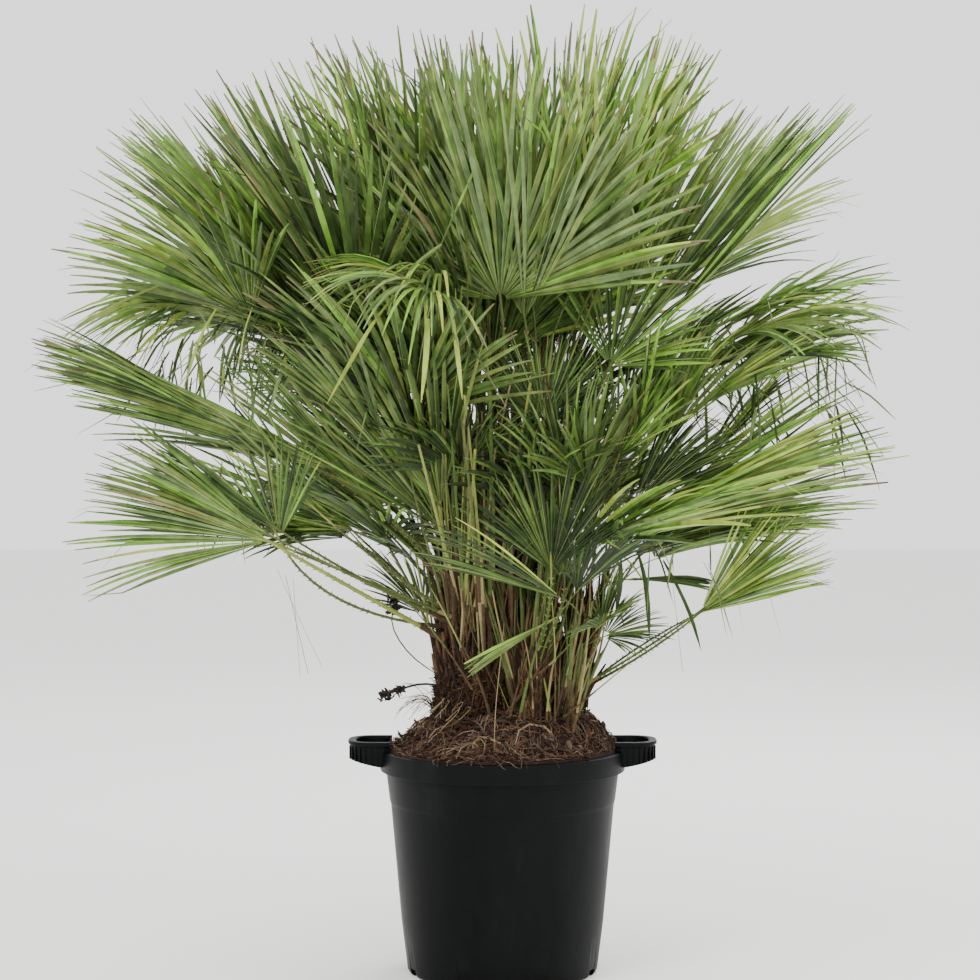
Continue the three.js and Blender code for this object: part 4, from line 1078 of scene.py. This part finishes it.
# Green shoots that stand in the root ball beside the trunk, and a few stalks that slant across.
shoots = []
for i in range(SHOOTS + SLANTS):
    if i < SHOOTS:
        start = draw.uniform((15, -118, 452), (132, -50, 480))
        drift, lean, climb = draw.normal(0.35 * start[0] - 6, 44), (-60, 30), (90, 300)
    else:
        start = draw.uniform((-70, -120, 470), (120, -95, 560))
        drift, lean, climb = draw.choice([-1, 1]) * draw.uniform(40, 120), (-60, 0), (90, 200)
    end = start + (drift, draw.uniform(*lean), draw.uniform(*climb))
    knee = (start + end) / 2 + (draw.normal(0, 9), draw.uniform(-12, 4), 0)
    shoots.append(bowed(start, knee, end))
far_right = np.array([line[0, 0] > 88 for line in shoots])
straw = far_right & (draw.random(SHOOTS + SLANTS) < 0.35)
shoot_wide = tapered(draw, (0.8, 3), SHOOTS + SLANTS, (1.5, 1.3, 1.2, 1.1, 1, 0.9, 0.8, 0.7, 0.5))
shoot_tone = by_face(draw.choice(
    [2, 3, 4, 1, 0], SHOOTS + SLANTS, p=[0.42, 0.14, 0.08, 0.22, 0.14]), LINE, ROUND_SIDES)
for row, brown in zip(shoot_tone, draw.integers(1, 5, SHOOTS + SLANTS)):
    row[:brown] = 0
shoot_tone[straw, 1:] = 1
add_round_stalks(shoots, shoot_wide, shoot_tone)
piece("leaf_stalks", strip_mesh("leaf_stalks", stalk_batches), stalk_finishes)


# Fan blades. A frond's blade is a half round of stiff narrow leaflets, each folded to a keel, fused
# near the stalk and free beyond, with thin dry tips. Each is a closed strip with a fold in it.
LEAFLET_STEP, FEWEST, CLOSED = 4.15, 15, 20
CUP, SAG_POWER, SHORTEN, SHORTEN_ANGLE = 0.22, 2.2, 0.3, 99
BLADE_START = 0.012
WEB, WIDEST, RIB, SHEET, FOLD = 0.45, 0.0068, 0.0007, 0.0014, 1.0
BENT, BENT_GREY, SNAPPED = 0.16, 0.03, 0.015
STRAY = {"place": 0.2, "long": (0.95, 1.06), "tilt": 0.04, "sag": (0.6, 1.4), "limp": 0.05,
         "sway": 0.02, "twist": 0.14, "tip_twist": 0.4, "wide": (0.85, 1.15)}
LIMP_FROM = 0.55
LEAFLET_SHARES = np.array([0, 0.16, 0.34, 0.5, 0.66, 0.8, 0.91, 1.0])
LEAFLETS_A_PIECE = 900

# finish, dark, middle and light colour. The fifth row, the darkest green, is painted shade for
# leaflets in the crown's shadow.
TONES = [
    ("leaf_grey_green", "4a5a35", "637647", "81945d"),
    ("leaf_olive", "4b5828", "647436", "829349"),
    ("leaf_mid_green", "3d5424", "546f2f", "6f8c42"),
    ("leaf_deep_green", "273818", "384c21", "4c6330"),
    ("leaf_painted_shade_green", "1f2817", "2d381f", "3e4b29"),
    ("leaf_bright_green", "5a872a", "78a33a", "94bc54"),
    ("leaf_lime", "84953a", "a1b24c", "bdcb6a"),
    ("leaf_straw", "6b6038", "867a50", "a09468"),
    ("leaf_dry_tip", "4a4930", "67633f", "857f58"),
    ("leaf_rib_pale", "647741", "7b8f52", "95a768"),
    ("leaf_rib_lime", "8a9d48", "a1b45a", "b9cb76"),
]
# The share of each of the first eight finishes among a fan's leaflets. The moods 'dark' and 'deep'
# are darker mixes for fans inside and low in the crown, partly their own darker green and partly
# painted shade; 'shade' is painted shade alone, for fans in the crown's shadow; 'fresh' is
# yellow-green, partly the young leaves' own colour and partly painted light of leaves lit from
# behind.
MOODS = {
    "grey": (0.40, 0.32, 0.18, 0.05, 0.0, 0.03, 0.02, 0.0),
    "plain": (0.22, 0.28, 0.28, 0.10, 0.02, 0.07, 0.025, 0.005),
    "dark": (0.08, 0.18, 0.26, 0.28, 0.15, 0.03, 0.01, 0.01),
    "fresh": (0.06, 0.13, 0.25, 0.08, 0.0, 0.36, 0.12, 0.0),
    "lime": (0.05, 0.2, 0.15, 0.02, 0.0, 0.2, 0.37, 0.01),
    "deep": (0.08, 0.22, 0.28, 0.3, 0.12, 0.0, 0.0, 0.0),
    "shade": (0.0, 0.05, 0.12, 0.33, 0.5, 0.0, 0.0, 0.0),
    "arched": (0.25, 0.2, 0.1, 0.05, 0.0, 0.2, 0.2, 0.0),
}
TIP, RIB_PALE, RIB_LIME = 8, 9, 10
# For each finish, its painted-shade step, for a leaflet's shaded half and its inner end, and its
# painted-light step, for its pale outer end.
SHADED = np.array([1, 2, 3, 4, 4, 2, 5, 7, 8, 1, 5])
LIT = np.array([9, 9, 5, 2, 3, 6, 10, 7, 8, 9, 10])
# Painted shade falls on leaflets nearer than DEEP to the crown's heart, painted light on those
# farther than OPEN; the offsets below shift these for each face of a leaflet's fold.
HEART = np.array([0.0, 0.0, 1.0])
DEEP, OPEN = 0.34, 0.68
FOLD_LIGHT_STAGGER = np.array([0.07, 0.0, -0.07, -0.05, 0.0, 0.05])
RIBS_SHOWN, RIBS_SHOWN_DARK = 0.4, 0.2
# The share of leaflets with one upper half of the fold in painted shade, and the share whose shaded
# half is the left one.
HALVED, HALVED_LEFT = 0.5, 0.32


def leafy(name, dark, middle, light):
    made = Finish(name, middle, roughness=0.5, specular=0.28)
    cloud = made.grain(24, 3, (1, 1, 1), 0.6)
    made.vary("Base Color", made.ramp(cloud, (0.28, dark), (0.5, middle), (0.74, light)))
    made.vary("Roughness", cloud * 0.25 + 0.38)
    made.bump(made.grain(420, 2), strength=0.1, distance=0.0006)
    return made


leaf_finishes = [leafy(*row) for row in TONES]


def leaflet_lines(frond, theta, draw):
    """The middle line of each leaflet, with its directions, and how it thins beyond a bend."""
    forward, side, above = blade_frame(frond)
    count, reach = len(theta), frond["radius"] * MM
    full = reach * (1 - SHORTEN * (theta / math.radians(SHORTEN_ANGLE)) ** 2)
    full = full * draw.uniform(*STRAY["long"], count)
    lifted = CUP * np.abs(np.sin(theta)) + draw.normal(0, STRAY["tilt"], count)
    ray = np.cos(theta)[:, None] * forward + np.sin(theta)[:, None] * side
    ray = unit(ray + lifted[:, None] * above)
    across = np.cos(theta)[:, None] * side - np.sin(theta)[:, None] * forward
    across = unit(across - (across * ray).sum(axis=1, keepdims=True) * ray)
    up = np.cross(across, ray)
    up *= np.where(up @ above < 0, -1, 1)[:, None]

    distance = BLADE_START + (full[:, None] - BLADE_START) * LEAFLET_SHARES
    share = distance / full[:, None]
    sag = frond["droop"] * reach * (distance / reach) ** SAG_POWER
    sag = sag * draw.uniform(*STRAY["sag"], (count, 1))
    limp = draw.uniform(0, STRAY["limp"], (count, 1)) * full[:, None]
    limp = limp * np.maximum(0, share - LIMP_FROM) ** 2 * 4
    bend = draw.normal(0, STRAY["sway"], (count, 1)) * full[:, None] * share ** 2
    middle = frond["hub"] * MM + ray[:, None] * distance[..., None]
    middle = middle + across[:, None] * bend[..., None]
    middle[..., 2] -= sag + limp
    slim = np.ones_like(share)
    bent = draw.random(count)
    for k in np.flatnonzero(bent < (BENT_GREY if frond["mood"] == "grey" else BENT)):
        snapped = bent[k] < SNAPPED
        knee = draw.integers(3, 5) if snapped else draw.integers(5, 7)
        fall = np.array([0, 0, -1.0]) * (1 if snapped else draw.uniform(0, 0.8))
        way = unit(ray[k] * (0.5 if snapped else 1) + fall + across[k] * draw.normal(0, 0.35))
        middle[k, knee:] = middle[k, knee] + way * (distance[k, knee:] - distance[k, knee])[:, None]
        slim[k, knee:] = 0.5
    return middle, across, up, distance, share, slim


def leaflet_tones(frond, middle, draw):
    """The finish of each face: painted shade on one half of some folds and towards the crown's
    heart, painted light outside, at the right and at the top right.
    """
    count = len(middle)
    body = draw.choice(8, count, p=MOODS[frond["mood"]])
    tone = by_face(body, len(LEAFLET_SHARES), len(FOLD_LIGHT_STAGGER))
    ribs = np.where(np.isin(body, (5, 6)), RIB_LIME, RIB_PALE)
    dark = frond["mood"] in ("dark", "deep")
    shown = draw.random(count) < (RIBS_SHOWN_DARK if dark else RIBS_SHOWN)
    for face in (1, 4):
        tone[shown, :, face] = ribs[shown, None]
    # Painted shade on one upper half of the fold of some leaflets.
    halved = draw.random(count)
    for k in np.flatnonzero(halved < HALVED):
        hand = 0 if halved[k] < HALVED_LEFT else 2
        tone[k, :, hand] = SHADED[tone[k, :, hand]]
    # Painted shade near the crown's heart and painted light away from it, more towards the right
    # and at the top right; each face of the fold changes at its own offset.
    x, z = middle[:, 1:, 0], middle[:, 1:, 2]
    away = np.linalg.norm(middle[:, 1:] - HEART, axis=-1) + draw.normal(0, 0.09, (count, 1))
    away += 0.05 * (x - 0.1) + 0.36 * np.clip(x - 0.12, 0, 0.35)
    away += 0.22 * np.clip(z - 1.3, 0, 0.4) * (x > 0)
    away = away[..., None] + FOLD_LIGHT_STAGGER
    tone = np.where(away < DEEP, SHADED[tone], tone)
    tone = np.where(away > OPEN, LIT[tone], tone)
    for k, dry in enumerate(draw.choice(3, count, p=[0.68, 0.29, 0.03])):
        if dry:
            tone[k, -dry:] = TIP
    return tone


def fan_leaflets(frond, draw):
    """The rings and the tones of all leaflets of one fan."""
    wide, closed = frond["spread"], frond["spread"] < CLOSED
    count = max(FEWEST, round(2 * wide / (LEAFLET_STEP * (0.5 + wide / 170))))
    step = 2 * math.radians(wide) / count
    theta = -math.radians(wide) + step * (np.arange(count) + 0.5)
    theta = theta + draw.uniform(-STRAY["place"], STRAY["place"], count) * step
    middle, across, up, distance, share, slim = leaflet_lines(frond, theta, draw)

    twist = draw.normal(0, STRAY["twist"], (count, 1))
    twist = twist + draw.normal(0, STRAY["tip_twist"], (count, 1)) * share ** 1.5
    turned, level = np.sin(twist)[..., None], np.cos(twist)[..., None]
    u = across[:, None] * level + up[:, None] * turned
    v = up[:, None] * level - across[:, None] * turned
    fused = distance * (0.03 if closed else math.tan(step / 2) * 1.02)
    web = WEB * (frond["radius"] * MM) * math.tan(step / 2)
    free = 0.6 * WIDEST if closed else min(web, WIDEST)
    free = free * draw.uniform(*STRAY["wide"], (count, 1))
    half = np.minimum(fused, free * slim * np.clip((1.03 - share) / 0.5, 0, 1) ** 0.55)
    fold = half * FOLD
    rib = np.minimum(RIB, half * 0.3)
    sheet = SHEET * (1 - 0.6 * share)
    corners = ((-half, fold / 2), (-rib, sheet - fold / 2), (rib, sheet - fold / 2),
               (half, fold / 2), (rib, -fold / 2), (-rib, -fold / 2))
    rings = np.stack([middle + u * x[..., None] + v * y[..., None] for x, y in corners], axis=2)
    return rings, leaflet_tones(frond, middle, draw)


draw = np.random.default_rng(2024)
batches, names, leaflets, number = [], [], 0, 1
for frond in fronds:
    batches.append(fan_leaflets(frond, draw))
    if any(frond is solid for solid in grown):
        names.append(f"frond_{frond['name']}")
    leaflets += len(batches[-1][0])
    if leaflets > LEAFLETS_A_PIECE or frond is fronds[-1]:
        name = f"fan_blades_{number}"
        piece(name, strip_mesh(name, batches), leaf_finishes, names, crease=20)
        batches, names, leaflets, number = [], [], 0, number + 1


# Dead growth. A withered flower stalk, wiry fibres at the trunk's foot, threads that hang from the
# low fronds and a few limp leaflets: single thin strands, dry brown or yellow-green.
TASSEL, WIRES, HAIRS = 24, 46, 90


def trail(*points):
    """A smooth line through the places given, in millimetres."""
    points = np.array(points, float) * MM
    at = np.linspace(0, len(points) - 1, LINE)
    line = np.stack([np.interp(at, range(len(points)), points[:, k]) for k in range(3)], axis=-1)
    line[1:-1] = (line[:-2] + 2 * line[1:-1] + line[2:]) / 4
    return line


dead_finishes = [
    earthy("dead_stalk_dark", "1b1613", "2b2420", "40372f", 60, 0.9),
    earthy("dead_fibre_tan", "7a6a4e", "94835f", "ae9d78", 60, 0.85),
    leaf_finishes[6], leaf_finishes[3], leaf_finishes[0], leaf_finishes[1],
]
dark_lines = [
    trail((-108, -42, 530), (-150, -60, 536), (-185, -66, 526), (-212, -64, 516)),
    trail((-112, -40, 545), (-160, -56, 578), (-190, -62, 615), (-204, -64, 650), (-196, -64, 690)),
]
for end in (dark_lines[0][-1], dark_lines[0][-3], dark_lines[1][-1], dark_lines[1][-2]):
    for _ in range(TASSEL):
        middle = draw.normal(0, 1, 3) * (5.5, 4, 3) * MM
        way = unit(draw.normal(size=3)) * draw.uniform(5, 11) * MM
        wobble = draw.normal(0, 0.0005, (LINE, 3))
        dark_lines.append(end + middle + np.linspace(-way, way, LINE) + wobble)
dark_wide = np.concatenate([[2.2, 1.3], draw.uniform(1.2, 3.4, 4 * TASSEL)])[:, None] * np.array(
    [0.4, 0.8, 1, 1, 1, 1, 0.9, 0.8, 0.4])

wiry_lines = []
t = np.linspace(0, 1, LINE)[:, None]
lift = np.array([0, 0, 1.0])
for _ in range(WIRES):
    turn = math.radians(draw.uniform(150, 262))
    start = np.array([-48 + 78 * math.cos(turn), 78 * math.sin(turn), 478]) * MM
    way = unit(np.array([math.cos(turn), math.sin(turn), draw.uniform(0.1, 1.2)]))
    long, curl = draw.uniform(30, 85) * MM, draw.uniform(1.5, 4.5)
    wiry_lines.append(
        start + way * long * t + lift * long * 0.3 * np.sin(t * curl)
        + np.cross(way, lift) * long * 0.25 * np.cos(t * curl * 1.4) - lift * long * 0.35 * t ** 2)
for x, y, z, lean in ((-400, -175, 752, 80), (-385, -170, 740, 40), (-372, -165, 735, 12),
                      (300, -150, 742, 20)):
    wiry_lines.append(trail((x, y, z), (x + lean * 0.5, y, z - 90), (x + lean, y, z - 175)))
wiry_wide = tapered(draw, (0.35, 0.8), len(wiry_lines), np.ones(LINE))
for _ in range(HAIRS):
    turn, rise = math.radians(draw.uniform(120, 300)), draw.uniform(0, 0.42)
    centre, wood = stem_at("trunk", rise)
    out = np.array([math.cos(turn), math.sin(turn), draw.uniform(0.2, 1.6)])
    start = centre + out * (1, 1, 0) * wood
    dark_lines.append(np.linspace(start, start + unit(out) * draw.uniform(14, 42), LINE) * MM)
hair_wide = tapered(draw, (0.6, 1.5), HAIRS, np.linspace(1, 0.15, LINE))
dark_wide = np.concatenate([dark_wide, hair_wide])

# Limp leaflets: finish, half width, line.
limp = [
    (2, 7.0, trail((-610, -62, 1262), (-680, -70, 1232), (-740, -76, 1198), (-790, -80, 1165))),
    (2, 6.5, trail((-180, -330, 1235), (-222, -345, 1180), (-262, -345, 1110), (-300, -342, 1042))),
    (2, 5.5, trail((-135, -345, 1240), (-128, -352, 1180), (-132, -350, 1110), (-140, -348, 1045))),
    (2, 5.5, trail((-95, -335, 1235), (-84, -342, 1175), (-76, -342, 1110), (-70, -340, 1050))),
    (3, 6.5, trail((285, -150, 765), (310, -155, 720), (335, -160, 665), (352, -160, 605))),
    (3, 5.5, trail((240, -160, 778), (252, -162, 735), (258, -162, 680), (260, -162, 625))),
    (3, 5.0, trail((210, -150, 760), (208, -155, 715), (200, -155, 670))),
    (1, 1.3, trail((2, -122, 650), (-4, -150, 590), (-14, -178, 500), (-16, -212, 428))),
]
# Where thin leaflets hang and cross: their number, the box that they start in, and their drift.
HANGING = (
    (120, (-640, -150, 1090), (-320, 100, 1230), -40),
    (100, (330, -150, 1020), (640, 150, 1200), 60),
    (16, (-620, -190, 880), (-330, -60, 960), -40),
    (16, (120, -200, 740), (420, -60, 840), 30),
)
for count, low, high, drift in HANGING:
    for _ in range(count):
        here = draw.uniform(low, high)
        way = np.array([
            drift * draw.uniform(-0.6, 2.2), draw.normal(0, 25), -draw.uniform(40, 150)])
        limp.append((draw.choice([3, 4, 5, 2], p=[0.3, 0.35, 0.25, 0.1]), draw.uniform(1.4, 3.6),
                     trail(here, here + way * (0.5, 0.5, 0.35), here + way)))
limp_tone, limp_half, limp_lines = (np.array(part) for part in zip(*limp))
limp_wide = limp_half[:, None] * np.array([0.5, 0.85, 1, 1, 1, 0.95, 0.8, 0.5, 0.08])
wiry_tone = draw.choice(2, (len(wiry_lines), 1, 1), p=[0.6, 0.4])
dead = strip_mesh("dead_growth", [
    (strands(np.array(dark_lines), dark_wide * MM, 5), np.zeros((1, 1, 1), int)),
    (strands(np.array(wiry_lines), wiry_wide * MM, 3), wiry_tone),
    (strands(limp_lines, limp_wide * MM, 4, 0.22), limp_tone[:, None, None]),
])
piece("dead_growth", dead, dead_finishes)


# Floor, light and camera. The floor is plain and pale, the light soft and wide, and the camera
# looks slightly down from the photograph's height and distance.
FLOOR_HALF, STUDIO_LIGHT = 14, 1.75
plane = bmesh.new()
bmesh.ops.create_grid(plane, x_segments=1, y_segments=1, size=FLOOR_HALF)
floor = placed("floor", mesh_of("floor", plane))
floor.data.materials.append(Finish("pale_floor", "f2f2f0", roughness=0.9, specular=0.1).material)

sky = bpy.data.worlds.new("studio")
sky.use_nodes = True
sky.node_tree.nodes["Background"].inputs["Color"].default_value = (1, 1, 1, 1)
sky.node_tree.nodes["Background"].inputs["Strength"].default_value = STUDIO_LIGHT
bpy.context.scene.world = sky


def soft_light(name, place, target, size, power):
    data = bpy.data.lights.new(name, "AREA")
    data.size = size
    data.energy = power
    lamp = placed(name, data)
    lamp.location = place
    lamp.rotation_euler = (Vector(target) - Vector(place)).to_track_quat("-Z", "Y").to_euler()


soft_light("key", (-2.2, -3.0, 4.2), (0, 0, 1.0), 1.8, 105)
soft_light("front", (0.9, -5.2, 1.9), (0, 0, 1.0), 2.6, 32)
soft_light("side", (3.2, -1.6, 3.9), (0.2, 0, 1.1), 1.8, 60)
soft_light("back", (1.6, 2.8, 3.8), (0.2, 0, 1.2), 2.2, 130)

LOOK_DOWN = 1.8
lens = bpy.data.cameras.new("camera")
lens.sensor_width = 36
lens.lens = 92.06
camera = placed("camera", lens)
camera.location = (-0.023, -4.600, 1.030)
camera.rotation_euler = (math.radians(90 - LOOK_DOWN), 0, 0)
bpy.context.scene.camera = camera
